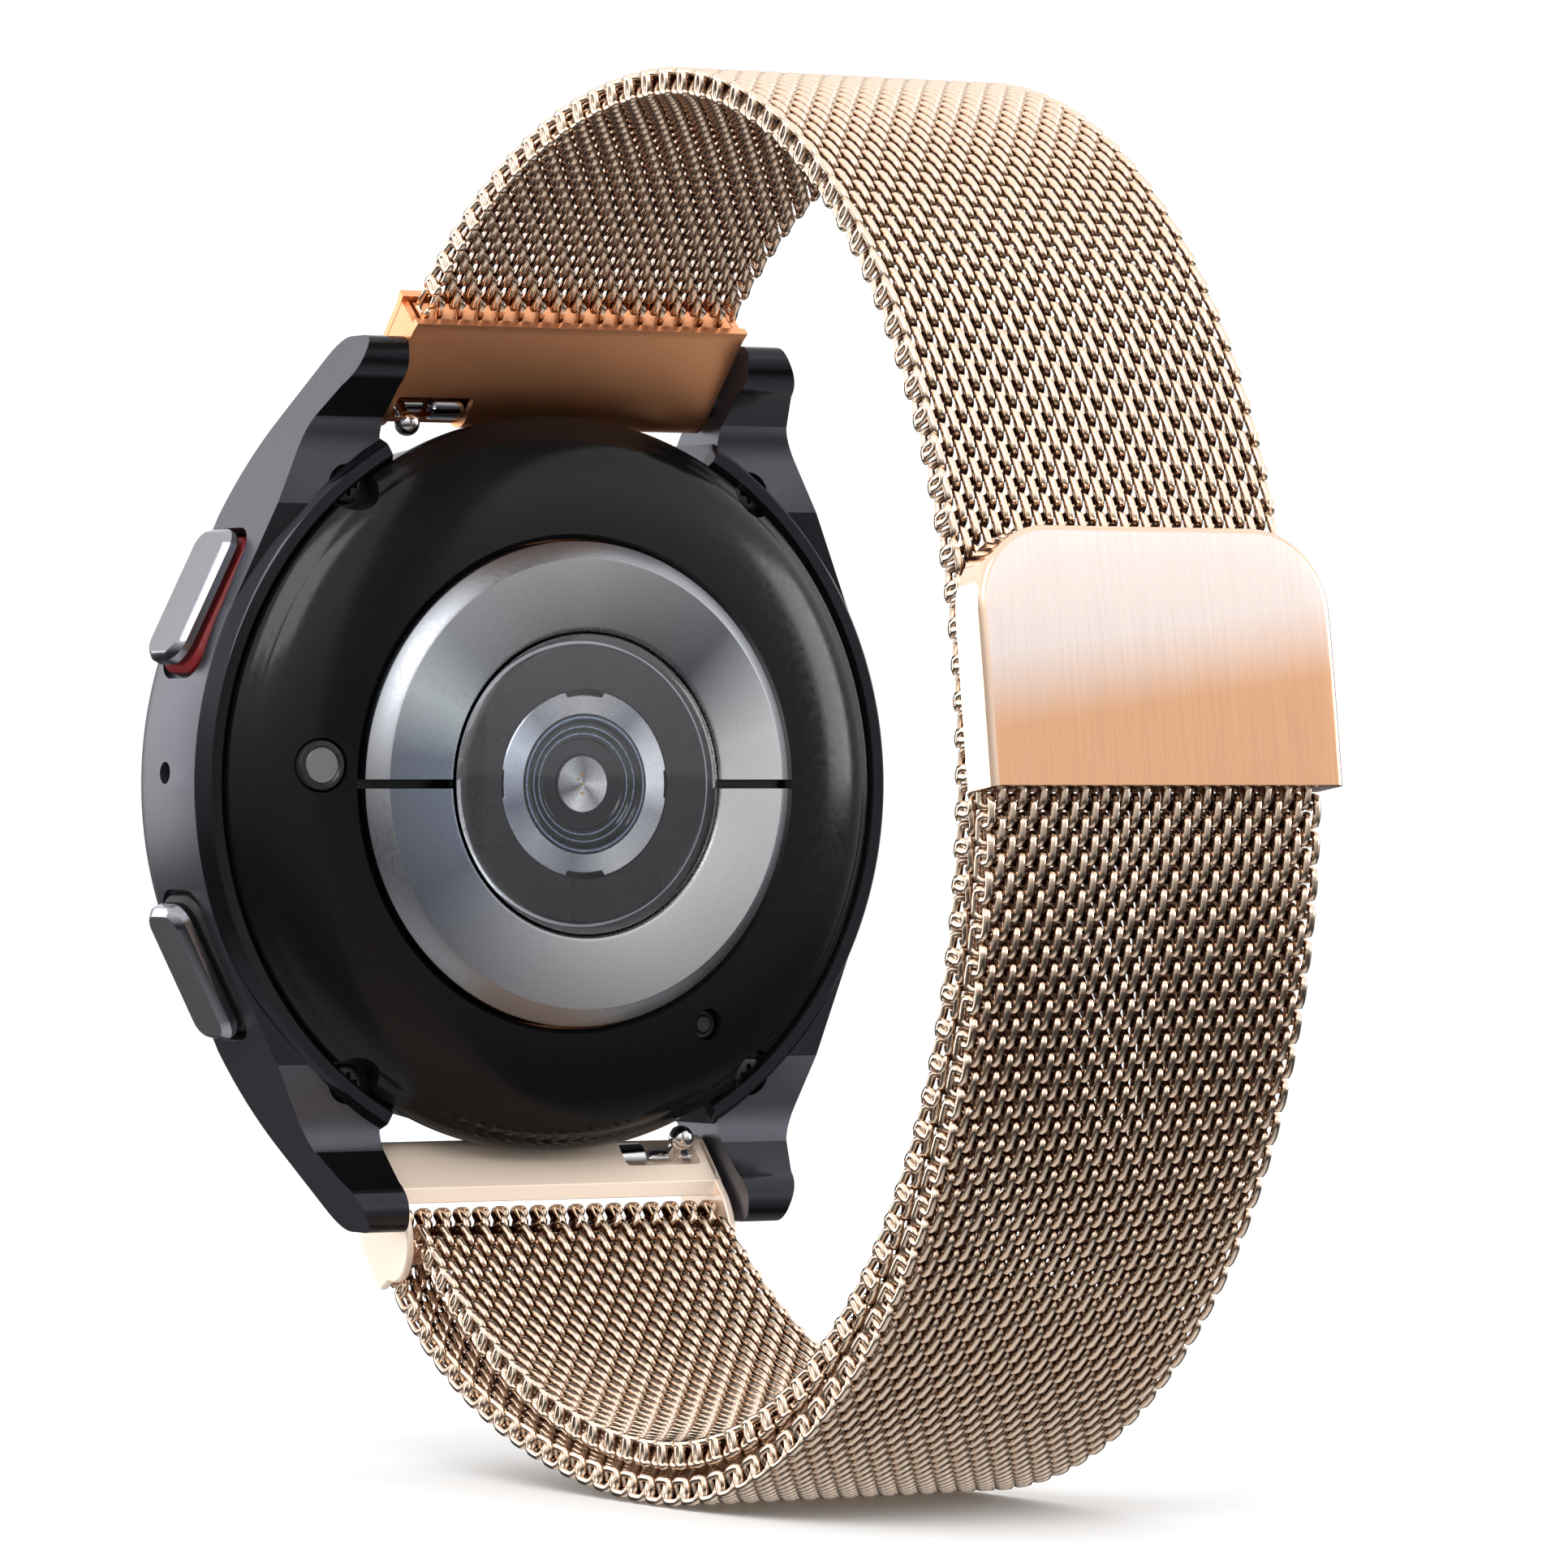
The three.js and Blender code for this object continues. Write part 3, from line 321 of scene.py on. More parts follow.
# The sensor halves' painted reflection: bright and dark rays round the axis.
SENSOR_METAL_PAINTED_REFLECTION = PaintedTurnedFinish("sensor_metal", (0.5, 0.5, 0.5), 0.26, 1.0, grain_size=0.1, relief=0.006, painted_rays=(
    (-180, (1.0, 1.0, 1.0)), (-160, (0.88, 0.90, 0.92)), (-135, (0.70, 0.70, 0.72)),
    (-95, (0.50, 0.48, 0.49)),
    (-60, (0.34, 0.34, 0.37)), (-30, (0.17, 0.19, 0.24)), (8, (0.28, 0.32, 0.40)), (26, (0.86, 0.95, 1.0)),
    (44, (0.50, 0.52, 0.56)), (90, (0.54, 0.52, 0.52)), (136, (0.20, 0.21, 0.24)), (154, (0.70, 0.71, 0.74)),
    (166, (1.0, 1.0, 1.0)), (180, (1.0, 1.0, 1.0)),
))
SENSOR_RIM = Finish("sensor_rim", (0.36, 0.37, 0.40), 0.40, 1.0, grain_size=0.2, relief=0.005)
WINDOW_GLASS = Finish("window_glass", (0.90, 0.91, 0.94), 0.02, clear=True, roughness_spread=0.0, relief=0.0)
WINDOW_BLACK = Finish("window_black", (0.022, 0.022, 0.026), 0.3, grain_size=2.0, relief=0.0, specular=0.3)
# The light ring's painted reflection: bright and dark rays round the axis.
LIGHT_RING_PAINTED_REFLECTION = PaintedTurnedFinish("light_ring", (0.4, 0.4, 0.4), 0.30, 1.0, grain_size=0.1, painted_rays=(
    (-180, (0.95, 0.95, 0.98)), (-160, (0.42, 0.42, 0.45)), (-115, (0.62, 0.62, 0.64)),
    (-80, (0.26, 0.27, 0.30)),
    (-45, (0.45, 0.46, 0.50)), (-15, (0.20, 0.21, 0.26)), (25, (0.70, 0.76, 0.85)), (50, (0.30, 0.31, 0.34)),
    (90, (0.48, 0.47, 0.48)), (130, (0.24, 0.25, 0.28)), (160, (0.85, 0.85, 0.88)), (180, (0.95, 0.95, 0.98)),
))
LENS = Finish("lens", (0.010, 0.011, 0.016), 0.10, grain_size=0.3, relief=0.0, specular=0.4)
LENS_LINE = Finish("lens_line", (0.22, 0.26, 0.36), 0.25, 1.0, grain_size=0.3, relief=0.0)
# The lens middle's painted reflection: bright and dark rays round the axis.
LENS_MIDDLE_PAINTED_REFLECTION = PaintedTurnedFinish("lens_middle_painted_reflection", (0.5, 0.5, 0.5), 0.28, 1.0, painted_rays=(
    (-180, (0.75, 0.75, 0.76)), (-130, (0.20, 0.20, 0.21)), (-70, (0.62, 0.62, 0.62)),
    (-20, (0.14, 0.14, 0.16)),
    (35, (0.70, 0.71, 0.74)), (90, (0.22, 0.22, 0.23)), (140, (0.50, 0.50, 0.50)), (180, (0.75, 0.75, 0.76)),
))
GOLD_PAD = Finish("gold_pad", (0.45, 0.28, 0.10), 0.3, 1.0)
CHROME = Finish("chrome", (0.72, 0.72, 0.74), 0.07, 1.0, grain_size=0.3, relief=0.01)
DARK_STEEL = Finish("dark_steel", (0.05, 0.05, 0.055), 0.25, 0.9)
STEEL = Finish("steel", (0.55, 0.55, 0.57), 0.25, 1.0)
RED_SEAL = Finish("red_seal", (0.16, 0.004, 0.006), 0.45, relief=0.05, specular=0.3)
BLACK_SEAL = Finish("black_seal", (0.012, 0.012, 0.012), 0.6, relief=0.1)
FRONT_GLASS = Finish("front_glass", (0.004, 0.004, 0.005), 0.03, coat=1.0, relief=0.0, roughness_spread=0.01)
BOARD_GREEN = Finish("board_green", (0.01, 0.08, 0.03), 0.45)
CELL_FOIL = Finish("cell_foil", (0.5, 0.5, 0.5), 0.35, 0.7, grain_size=0.5, relief=0.2)
COPPER = Finish("copper", (0.70, 0.30, 0.15), 0.3, 1.0)
MAGNET = Finish("magnet", (0.25, 0.25, 0.26), 0.3, 0.9)
PALE_FLOOR = Finish("pale_floor", (0.94, 0.94, 0.94), 0.8, relief=0.0, grain_size=5.0, tone_spread=0.01)


# ---------------------------------------------------------------- meshes


@dataclass
class Shell:
    """Surfaces gathered into one mesh, in millimetres."""

    points: list[np.ndarray] = field(default_factory=list)
    faces: list[np.ndarray | list[int]] = field(default_factory=list)
    finishes: list[int] = field(default_factory=list)
    # Per point, the wire's painted shade mask: 0 deep between the rows, 1 at the faces and edges.
    painted_shade_mask: list[np.ndarray] = field(default_factory=list)
    count: int = 0

    def grid(self, sheet: np.ndarray, around: bool = False, along: bool = False,
             finish: int = 0) -> np.ndarray:
        """Adds a grid of points with a four-sided face between each four neighbours.

        Args:
            sheet: Points, rows by columns by 3.
            around: The last column joins the first.
            along: The last row joins the first.
            finish: Which of the object's finishes the faces take.

        Returns:
            The points' numbers, rows by columns.
        """
        rows, columns = sheet.shape[:2]
        numbers = self.count + np.arange(rows * columns).reshape(rows, columns)
        near = numbers if along else numbers[:-1]
        far = np.roll(numbers, -1, 0) if along else numbers[1:]
        left = (near, far) if around else (near[:, :-1], far[:, :-1])
        right = (np.roll(near, -1, 1), np.roll(far, -1, 1)) if around else (near[:, 1:], far[:, 1:])
        quads = np.stack([left[0], right[0], right[1], left[1]], -1).reshape(-1, 4)
        self.points.append(sheet.reshape(-1, 3))
        self.faces.append(quads)
        self.finishes += [finish] * len(quads)
        self.count += rows * columns
        return numbers

    def cap(self, loop: np.ndarray, finish: int = 0) -> None:
        """Closes a loop of point numbers with one face."""
        self.faces.append([int(n) for n in loop])
        self.finishes.append(finish)

    def loft(self, loops: np.ndarray, finishes: list[int] | None = None) -> None:
        """Adds a closed solid through loops of points, with a face over the first and the last.

        Args:
            loops: Loops by points by 3.
            finishes: The finish of each band between loops, with those of the two end faces after them.
        """
        chosen = finishes or [0] * (len(loops) + 1)
        numbers = self.grid(loops, around=True)
        per = loops.shape[1]
        bands = np.repeat(chosen[: len(loops) - 1], per)
        self.finishes[-len(bands):] = [int(b) for b in bands]
        self.cap(numbers[0][::-1], chosen[-2])
        self.cap(numbers[-1], chosen[-1])

    def slab(self, outline: np.ndarray, depths: Pair, x: float = 0.0, z: float = 0.0) -> None:
        """Adds a plate: an outline in X and Z, moved to a place and carried from one depth to another."""
        self.loft(np.stack([flat(outline, y, x, z) for y in depths]))

    def build(self, name: str, finishes: list[Finish], recalculate: bool = True) -> Piece:
        """Makes the object.

        Args:
            name: The object's name.
            finishes: Its finishes, in the order of the faces' numbers.
            recalculate: Merge doubled points and turn all faces outwards.

        Returns:
            The object, at the origin.
        """
        mesh = bpy.data.meshes.new(name)
        points = np.concatenate(self.points) * MM
        if all(isinstance(f, np.ndarray) for f in self.faces):
            quads = np.concatenate(self.faces).astype(np.int32)
            mesh.vertices.add(len(points))
            mesh.vertices.foreach_set("co", points.astype(np.float32).ravel())
            mesh.loops.add(quads.size)
            mesh.loops.foreach_set("vertex_index", quads.ravel())
            mesh.polygons.add(len(quads))
            mesh.polygons.foreach_set("loop_start", np.arange(0, quads.size, 4, dtype=np.int32))
            mesh.update(calc_edges=True)
        else:
            listed = [q for f in self.faces for q in (f.tolist() if isinstance(f, np.ndarray) else [f])]
            mesh.from_pydata(points.tolist(), [], listed)
        mesh.polygons.foreach_set("material_index", np.array(self.finishes, np.int32))
        for finish in finishes:
            mesh.materials.append(finish.material())
        # The painted shade mask goes on the mesh as a point attribute, which the wire's colour reads.
        if self.painted_shade_mask:
            painted_shade_mask = mesh.attributes.new("painted_shade_mask", "FLOAT", "POINT")
            painted_shade_mask.data.foreach_set("value", np.concatenate(self.painted_shade_mask).astype(np.float32))
        if recalculate:
            tidy_mesh(mesh)
        mesh.shade_smooth()
        made = bpy.data.objects.new(name, mesh)
        bpy.context.scene.collection.objects.link(made)
        return made


def tidy_mesh(mesh: bpy.types.Mesh) -> None:
    """Merges doubled points, drops faces without area and turns all faces outwards."""
    work = bmesh.new()
    work.from_mesh(mesh)
    bmesh.ops.remove_doubles(work, verts=work.verts, dist=2e-6)
    bmesh.ops.dissolve_degenerate(work, edges=work.edges, dist=1e-7)
    bmesh.ops.recalc_face_normals(work, faces=work.faces)
    work.to_mesh(mesh)
    work.free()


def crisp(made: Piece, angle: float = SHARP) -> Piece:
    """Smooth shading, except over edges sharper than an angle in degrees."""
    made.data.set_sharp_from_angle(angle=math.radians(angle))
    return made


def soften(made: Piece, width: float, segments: int = 2, angle: float = SHARP) -> Piece:
    """Rounds every edge sharper than an angle, with a bevel of that width in millimetres."""
    bevel = made.modifiers.new("edge", "BEVEL")
    bevel.width = width * MM
    bevel.segments = segments
    bevel.limit_method = "ANGLE"
    bevel.angle_limit = math.radians(angle)
    bevel.harden_normals = True
    bevel.use_clamp_overlap = True
    return made


def carve(made: Piece, cutters: list[Piece]) -> Piece:
    """Takes the cutters out of a solid and removes them."""
    for cutter in cutters:
        step = made.modifiers.new("cut", "BOOLEAN")
        step.operation = "DIFFERENCE"
        step.solver = "EXACT"
        step.object = cutter
    shaped = made.evaluated_get(bpy.context.evaluated_depsgraph_get())
    mesh = bpy.data.meshes.new_from_object(shaped)
    made.modifiers.clear()
    made.data = mesh
    for cutter in cutters:
        bpy.data.objects.remove(cutter)
    return made


def place(made: Piece, body: str, *nodes: str, slot: str = "") -> Piece:
    """Rides a piece on its body, in place of its CAD nodes."""
    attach(made, body)
    if nodes:
        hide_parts(*nodes)
    LOG.info("%s: %d faces on %s", made.name, len(made.data.polygons), body)
    return made


def round_loop(radius: float, segments: int) -> np.ndarray:
    """Points of a circle about the origin, as points by 2."""
    turn = np.linspace(0, 2 * np.pi, segments, endpoint=False)
    return radius * np.stack([np.cos(turn), np.sin(turn)], -1)


def flat(outline: np.ndarray, y: float, x: float = 0.0, z: float = 0.0) -> np.ndarray:
    """An outline in X and Z as points at one depth."""
    return np.stack([x + outline[:, 0], np.full(len(outline), y), z + outline[:, 1]], -1)


def upright(outline: np.ndarray, x: float) -> np.ndarray:
    """An outline in Y and Z as points at one X."""
    return np.stack([np.full(len(outline), x), outline[:, 0], outline[:, 1]], -1)


def turned(shell: Shell, profile: list[Pair], segments: int = 192, finish: int = 0,
           place_at: Triple = (0, 0, 0)) -> None:
    """Adds a profile of (radius, y) points turned about the Y axis.

    Args:
        shell: Where it goes.
        profile: The points; a radius of 0 is a pole, and a profile off the axis is closed.
        segments: Points round a turn.
        finish: The faces' finish.
        place_at: Where its axis and height start.
    """
    closed = profile[0][0] > 0
    loops = np.stack([flat(round_loop(max(r, 1e-4), segments), y) for r, y in profile])
    shell.grid(loops + np.array(place_at), around=True, along=closed, finish=finish)


def cylinder(radius: float, y0: float, y1: float, x: float, z: float, segments: int = 48) -> Piece:
    """A plain cutter along Y."""
    shell = Shell()
    shell.slab(round_loop(radius, segments), (y0, y1), x, z)
    return shell.build("cutter", [BLACK_PLASTIC])


def rounded_loop(width: float, height: float, corner: float, steps: int = 10) -> np.ndarray:
    """A rounded rectangle about the origin, as points by 2: four quarter circles joined by straight lines."""
    turn = np.linspace(0, np.pi / 2, steps)
    quarter = np.stack([np.cos(turn), np.sin(turn)], -1) * corner
    w, h = width / 2 - corner, height / 2 - corner
    flips = [(1, 1, False), (-1, 1, True), (-1, -1, False), (1, -1, True)]
    corners = []
    for sx, sy, back in flips:
        part = quarter * [sx, sy] + [sx * w, sy * h]
        corners.append(part[::-1] if back else part)
    return np.concatenate(corners)


def bend_curve(start: tuple, middle: tuple, end: tuple, steps: int = 12) -> np.ndarray:
    """A quadratic curve from start to end, pulled towards the middle point."""
    t = np.linspace(0, 1, steps)[:, None]
    a, b, c = (np.array(p, float) for p in (start, middle, end))
    return (1 - t) ** 2 * a + 2 * t * (1 - t) * b + t**2 * c


# ---------------------------------------------------------------- head


@dataclass
class Head:
    """The watch's case, cover, sensor and buttons."""

    case_radius: float = 21.6
    front: float = -12.4
    back: float = -4.0
    cavity: float = 17.6
    glass: float = 18.3
    cover: float = 20.1
    cover_crown: float = -1.5
    cover_inner: float = 13.35
    electrode: float = 13.2
    electrode_face: float = -0.25
    split: float = 0.5
    window: float = 8.15
    light_ring: float = 5.1
    light_bore: float = 3.8
    lug_gap: float = 21.2
    lug_reach: float = 24.1
    lug_tip: float = 2.6
    lug_edge: float = 0.28
    notch: float = 19.0
    ledge: float = 19.3
    bar_height: float = 20.7
    bar_depth: float = -6.3
    screw_circle: float = 20.4
    screw_angle: float = 52.0
    screw_recess: float = 1.2
    screw_depth: float = 1.3
    cover_recess: float = 1.35
    microphone_hole: float = 0.6
    button_angle: float = 27.0
    button_length: float = 8.0
    button_width: float = 3.8
    button_depth: float = -8.4
    pocket_floor: float = 20.8
    temperature: Triple = (15.6, 1.0, 1.35)
    vent: Triple = (-8.4, -13.2, 0.75)

    def build(self) -> None:
        """Builds every visible part of the head."""
        self.build_case()
        self.build_cover()
        self.build_screws()
        self.build_electrodes()
        self.build_sensor()
        self.build_front()
        for name, side in (("upper", 1), ("lower", -1)):
            self.build_button(name, side)

    def screw_places(self) -> list[Pair]:
        """The four screws' places in X and Z."""
        a = math.radians(self.screw_angle)
        x, z = self.screw_circle * math.cos(a), self.screw_circle * math.sin(a)
        return [(x, z), (-x, z), (-x, -z), (x, -z)]

    def build_case(self) -> None:
        """The case ring, with its pockets, and the four lugs."""
        ring = self.case_ring()
        lug = self.lug_points()
        shell = Shell()
        # Faces towards the wrist take the darker graphite: partly polished finish, partly painted shade.
        wristward = lug[0, :, 1] > np.interp(lug[0, :, 2], [12.0, self.lug_reach], [self.back - 1.4, -1.9])
        for sx, sz in ((1, 1), (-1, 1), (-1, -1), (1, -1)):
            start = len(shell.finishes)
            shell.loft(lug * [sx, 1, sz])
            shell.finishes[start : start + len(wristward)] = [int(w) for w in wristward]
        lugs = shell.build("case_lugs", [GRAPHITE, GRAPHITE_GLOSS_AND_SHADE])
        carve(lugs, [cylinder(self.cover + CLEARANCE, self.front - 1, 1, 0, 0, 192)])
        carve(lugs, [cylinder(self.screw_recess, self.back - self.screw_depth, 1, x, z)
                     for x, z in self.screw_places()])
        carve(lugs, self.pocket_cutters())
        soften(crisp(lugs), self.lug_edge, 3, 28)
        place(lugs, "watch_head", slot="graphite_case")
        place(ring, "watch_head", "case_frame", slot="graphite_case")

    def case_ring(self) -> Piece:
        """The round body: its profile turned about Y, pulled in to the notch between the lugs.

        Returns:
            The ring with its button pockets and microphone hole.
        """
        front_round = bend_curve(
            (self.case_radius - 1.5, self.front + 0.05), (self.case_radius, self.front + 0.15),
            (self.case_radius, self.front + 1.7), 8,
        )
        ledge = self.back - 0.7 - 0.45
        profile = np.array([
            (self.cavity, self.front + 1.3), (self.glass + 0.15, self.front + 1.3),
            (self.glass + 0.15, self.front + 0.15), (self.glass + 0.45, self.front), *front_round,
            (self.case_radius, self.back - 0.95), (self.case_radius - 0.04, self.back - 0.8),
            (self.case_radius - 0.42, self.back - 0.12), (self.case_radius - 0.55, self.back),
            (self.cover + 0.35, self.back), (self.cover + 0.15, self.back - 0.2),
            (self.cover + 0.15, ledge), (self.cavity, ledge),
        ])
        chamfer = len(profile) - 7
        edge = math.asin(self.lug_gap / 2 / self.case_radius)
        turn = np.linspace(0, 2 * np.pi, 257)[:-1]
        cuts = np.array([s * math.pi / 2 + d * (edge + e)
                         for s in (1, -1) for d in (1, -1) for e in (0, 1e-4)])
        turn = np.unique(np.concatenate([turn, np.mod(cuts, 2 * np.pi)]))
        between = np.abs(np.cos(turn)) < math.sin(edge + 5e-5)
        r = np.repeat(profile[:, :1], len(turn), 1)
        y = np.repeat(profile[:, 1:], len(turn), 1)
        low = y < ledge - 0.5
        limit = np.where(low, self.notch, self.ledge)
        cut = between[None, :] & (r > self.notch)
        r = np.where(cut, limit, r)
        y = np.where(cut & ~low, np.minimum(y, ledge), y)
        sheet = np.stack([r * np.cos(turn), y, r * np.sin(turn)], -1)
        shell = Shell()
        shell.grid(sheet, around=True, along=True)
        bands = np.repeat(np.arange(len(profile)), len(turn))
        # The bands round the rear chamfer take the darker graphite: partly polished finish, partly painted shade.
        polished = (bands >= chamfer - 1) & (bands <= chamfer + 3)
        shell.finishes = [int(p) for p in polished]
        ring = shell.build("case_ring", [GRAPHITE, GRAPHITE_GLOSS_AND_SHADE])
        carve(ring, self.pocket_cutters())
        hole = Shell()
        edge_points = round_loop(self.microphone_hole, 32) + [self.button_depth, self.microphone_hole]
        hole.loft(np.stack([upright(edge_points, self.case_radius + reach) for reach in (-3, 1)]))
        carve(ring, [hole.build("cutter", [BLACK_PLASTIC])])
        return crisp(ring, 24)

    def pocket_cutters(self) -> list[Piece]:
        """The two pockets that the buttons move in, which are cut out of the ring and of the lugs."""
        gap = 0.8
        levels = [(0, self.pocket_floor), (0, self.case_radius + 2)]
        return [self.button_block("cutter", side, self.button_length + gap, self.button_width + gap, levels)
                for side in (1, -1)]

    def lug_points(self) -> np.ndarray:
        """One lug: its outline from the side, carried from the lug gap out to its outline from behind.

        Returns:
            Loops by points by 3, for the lug at +X and +Z.
        """
        front, reach = self.front, self.lug_reach
        tip = np.array([self.lug_gap / 2 + self.lug_tip, reach - 0.8])
        touch = math.atan2(tip[1], tip[0]) - math.acos(self.case_radius / math.hypot(*tip))
        foot = self.case_radius * np.array([math.cos(touch), math.sin(touch)])
        side = np.concatenate([
            [(front + 1.6, foot[1])],
            bend_curve((front + 1.6, reach - 9.6), (front + 2.2, reach - 6.6), (front + 4.2, reach - 4.3),
                       12),
            bend_curve((front + 7.0, reach - 1.0), (front + 7.9, reach), (front + 8.9, reach), 8),
            bend_curve((-2.0, reach), (-1.1, reach), (-1.1, reach - 0.9), 8),
            bend_curve((-1.1, reach - 1.2), (-1.2, reach - 2.1), (-2.3, reach - 2.7), 8),
            bend_curve((-4.0, reach - 4.3), (-4.7, reach - 5.1), (-4.5, reach - 6.6), 8),
            [(self.back - 0.3, reach - 9.0), (self.back - 0.95, foot[1])],
        ])
        z = side[:, 1]
        straight = foot[0] + (z - foot[1]) * (tip[0] - foot[0]) / (tip[1] - foot[1])
        round_case = np.sqrt(np.maximum(self.case_radius**2 - z**2, 0.01)) - 0.02
        outer = np.where(z > foot[1], straight, round_case)
        inner = np.full_like(z, self.lug_gap / 2)
        loops = [np.stack([x, side[:, 0], z], -1) for x in (inner, outer)]
        return np.stack(loops)

    def build_cover(self) -> None:
        """The black dome: a shallow crown with a polished rim, cut for the screws, vent and sensor."""
        crown, rim, radius = self.cover_crown, self.back, self.cover
        dome = bend_curve((self.cover_inner + 0.25, crown + 0.02), (radius - 2.2, crown - 0.35),
                          (radius - 0.9, rim + 0.85), 20)
        edge = bend_curve((radius - 0.8, rim + 0.72), (radius - 0.1, rim + 0.25), (radius, rim - 0.1), 8)
        profile = [
            (self.cover_inner, crown - 1.0), (self.cover_inner, crown - 0.25), *map(tuple, dome),
            *map(tuple, edge),
            (radius, rim - 0.7), (radius - 2.4, rim - 0.7), (radius - 4.0, crown - 1.9),
        ]
        shell = Shell()
        turned(shell, profile)
        cover = shell.build("rear_cover_shell", [BLACK_COVER])
        cutters = [cylinder(self.cover_recess, -8, 1, x, z) for x, z in self.screw_places()]
        for x, z, r in (self.temperature, self.vent):
            cutters.append(cylinder(r + 0.12, -8, 1, x, z))
        carve(cover, cutters)
        crisp(cover, 30)
        place(cover, "watch_head", "rear_cover", slot="black_cover")
        x, z, r = self.temperature
        shell = Shell()
        turned(shell, [(0.0, -0.02), (r - 0.42, -0.02), (r - 0.34, -0.1)], 64, 0, (x, crown - 0.12, z))
        turned(shell, [(r - 0.36, -0.06), (r - 0.26, 0.04), (r - 0.06, 0.02), (r, -0.1), (r, -1.4),
                       (r - 0.36, -1.4)],
               64, 1, (x, crown - 0.12, z))
        sensor = shell.build("temperature_disc", [BUTTON_FACE, BLACK_PLASTIC])
        place(crisp(sensor), "watch_head", "temperature_sensor", slot="sensor_metal")
        x, z, r = self.vent
        shell = Shell()
        turned(shell, [(0.0, 0.0), (r * 0.55, 0.0), (r * 0.75, -0.12), (r - 0.02, -0.12), (r - 0.02, -0.6),
                       (0.0, -0.6)],
               32, 0, (x, crown - 0.75, z))
        place(crisp(shell.build("vent_plug", [BLACK_PLASTIC])), "watch_head", slot="dark_plastic")

    def build_screws(self) -> None:
        """Four cross-slotted screws, dark, each in its recess."""
        for i, (x, z) in enumerate(self.screw_places()):
            shell = Shell()
            profile = [(0.0, 0.9), (0.72, 0.9), (0.9, 0.84), (1.0, 0.66), (1.0, 0.05), (0.5, 0.0),
                       (0.5, -2.6), (0.0, -2.8)]
            turned(shell, profile, 40, 0, (x, self.back - self.screw_depth, z))
            screw = shell.build(f"screw_{i + 1}", [DARK_STEEL])
            cuts = []
            for long, wide in ((0.55, 0.14), (0.14, 0.55)):
                slot = Shell()
                loop = np.array([(-long, -wide), (long, -wide), (long, wide), (-long, wide)])
                slot.slab(loop, (-4.75, -3.0), x, z)
                cuts.append(slot.build("cutter", [BLACK_PLASTIC]))
            carve(screw, cuts)
            place(crisp(screw), "watch_head", f"rear_screw_{i + 1}", slot="polished_steel")

    def build_electrodes(self) -> None:
        """The two metal halves: a ring's profile swept from one side of the split to the other.

        At radius r the sweep starts at the angle whose sine is half the split over r,
        so the ends are parallel.
        """
        face, outer, inner = self.electrode_face, self.electrode, self.window + CLEARANCE
        slope = [(outer, face - 1.9), (outer, face - 1.0), (outer - 0.06, face - 0.9),
                 (outer - 0.86, face - 0.1),
                 (outer - 0.98, face - 0.04)]
        level = [(inner + 0.28, face), (inner + 0.1, face - 0.04), (inner, face - 0.16), (inner, face - 1.9)]
        profile = np.array(slope + level)
        sweep = np.linspace(0, 1, 129)
        for name, side in (("upper", 1), ("lower", -1)):
            r = profile[:, 0][None, :]
            first = np.arcsin(self.split / 2 / r)
            turn = first + (np.pi - 2 * first) * sweep[:, None]
            y = np.repeat(profile[None, :, 1], len(sweep), 0)
            sheet = np.stack([r * np.cos(turn), y, side * r * np.sin(turn)], -1)
            shell = Shell()
            shell.loft(sheet)
            per = len(profile)
            rim = [1 if 1 <= k % per <= 3 else 0 for k in range((len(sweep) - 1) * per)]
            shell.finishes[: len(rim)] = rim
            half = shell.build(f"sensor_half_{name}", [SENSOR_METAL_PAINTED_REFLECTION, SENSOR_RIM])
            place(crisp(half, 20), "watch_head", f"electrode_{name}", slot="sensor_metal")

    def build_sensor(self) -> None:
        """The window and what shows under it: a black field, a notched bright ring and the lens."""
        r = self.window
        shell = Shell()
        turned(shell, [(0.0, -0.85), (r, -0.85), (r, -0.35), (r - 0.1, -0.2), (r - 0.35, -0.06),
                       (r - 0.6, 0.0), (0.0, 0.0)])
        place(crisp(shell.build("window_glass", [WINDOW_GLASS])), "watch_head", "sensor_window",
              slot="sensor_glass")
        shell = Shell()
        inner = self.light_ring + 0.05
        turned(shell, [(inner, -1.02), (inner, -1.3), (r - 0.05, -1.3), (r - 0.05, -0.98), (r - 0.65, -0.98),
                       (r - 0.7, -1.02)])
        turned(shell, [(r - 0.60, -0.99), (r - 0.51, -0.99), (r - 0.51, -0.96), (r - 0.60, -0.96)], finish=1)
        field_ring = shell.build("window_field", [WINDOW_BLACK, SENSOR_RIM])
        place(crisp(field_ring), "watch_head", slot="dark_plastic")
        self.build_light_ring()
        face = -1.0
        shell = Shell()
        bore = self.light_bore - 0.05
        turned(shell, [(0.0, face - 1.2), (bore, face - 1.2), (bore, face), (bore - 0.3, face),
                       (bore - 0.42, face - 0.12),
                       (3.0, face - 0.14), (2.9, face - 0.22), (2.5, face - 0.24), (2.4, face - 0.34),
                       (1.65, face - 0.36), (1.6, face - 0.28), (0.0, face - 0.26)])
        core = crisp(shell.build("lens_body", [LENS]))
        place(core, "watch_head", "optical_core", slot="sensor_glass")
        shell = Shell()
        turned(shell, [(0.0, 0.0), (0.7, 0.0), (1.5, -0.12), (1.5, -0.18), (0.0, -0.18)], 96, 0,
               (0, face - 0.12, 0))
        for inner, outer, deep in ((2.68, 2.76, 0.22), (3.06, 3.14, 0.12), (bore - 0.2, bore - 0.08, -0.02)):
            turned(shell, [(inner, 0.0), (outer, 0.0), (outer, -0.05), (inner, -0.05)], 128, 1,
                   (0, face - deep + 0.02, 0))
        place(crisp(shell.build("lens_rings", [LENS_MIDDLE_PAINTED_REFLECTION, LENS_LINE])), "watch_head", slot="sensor_metal")
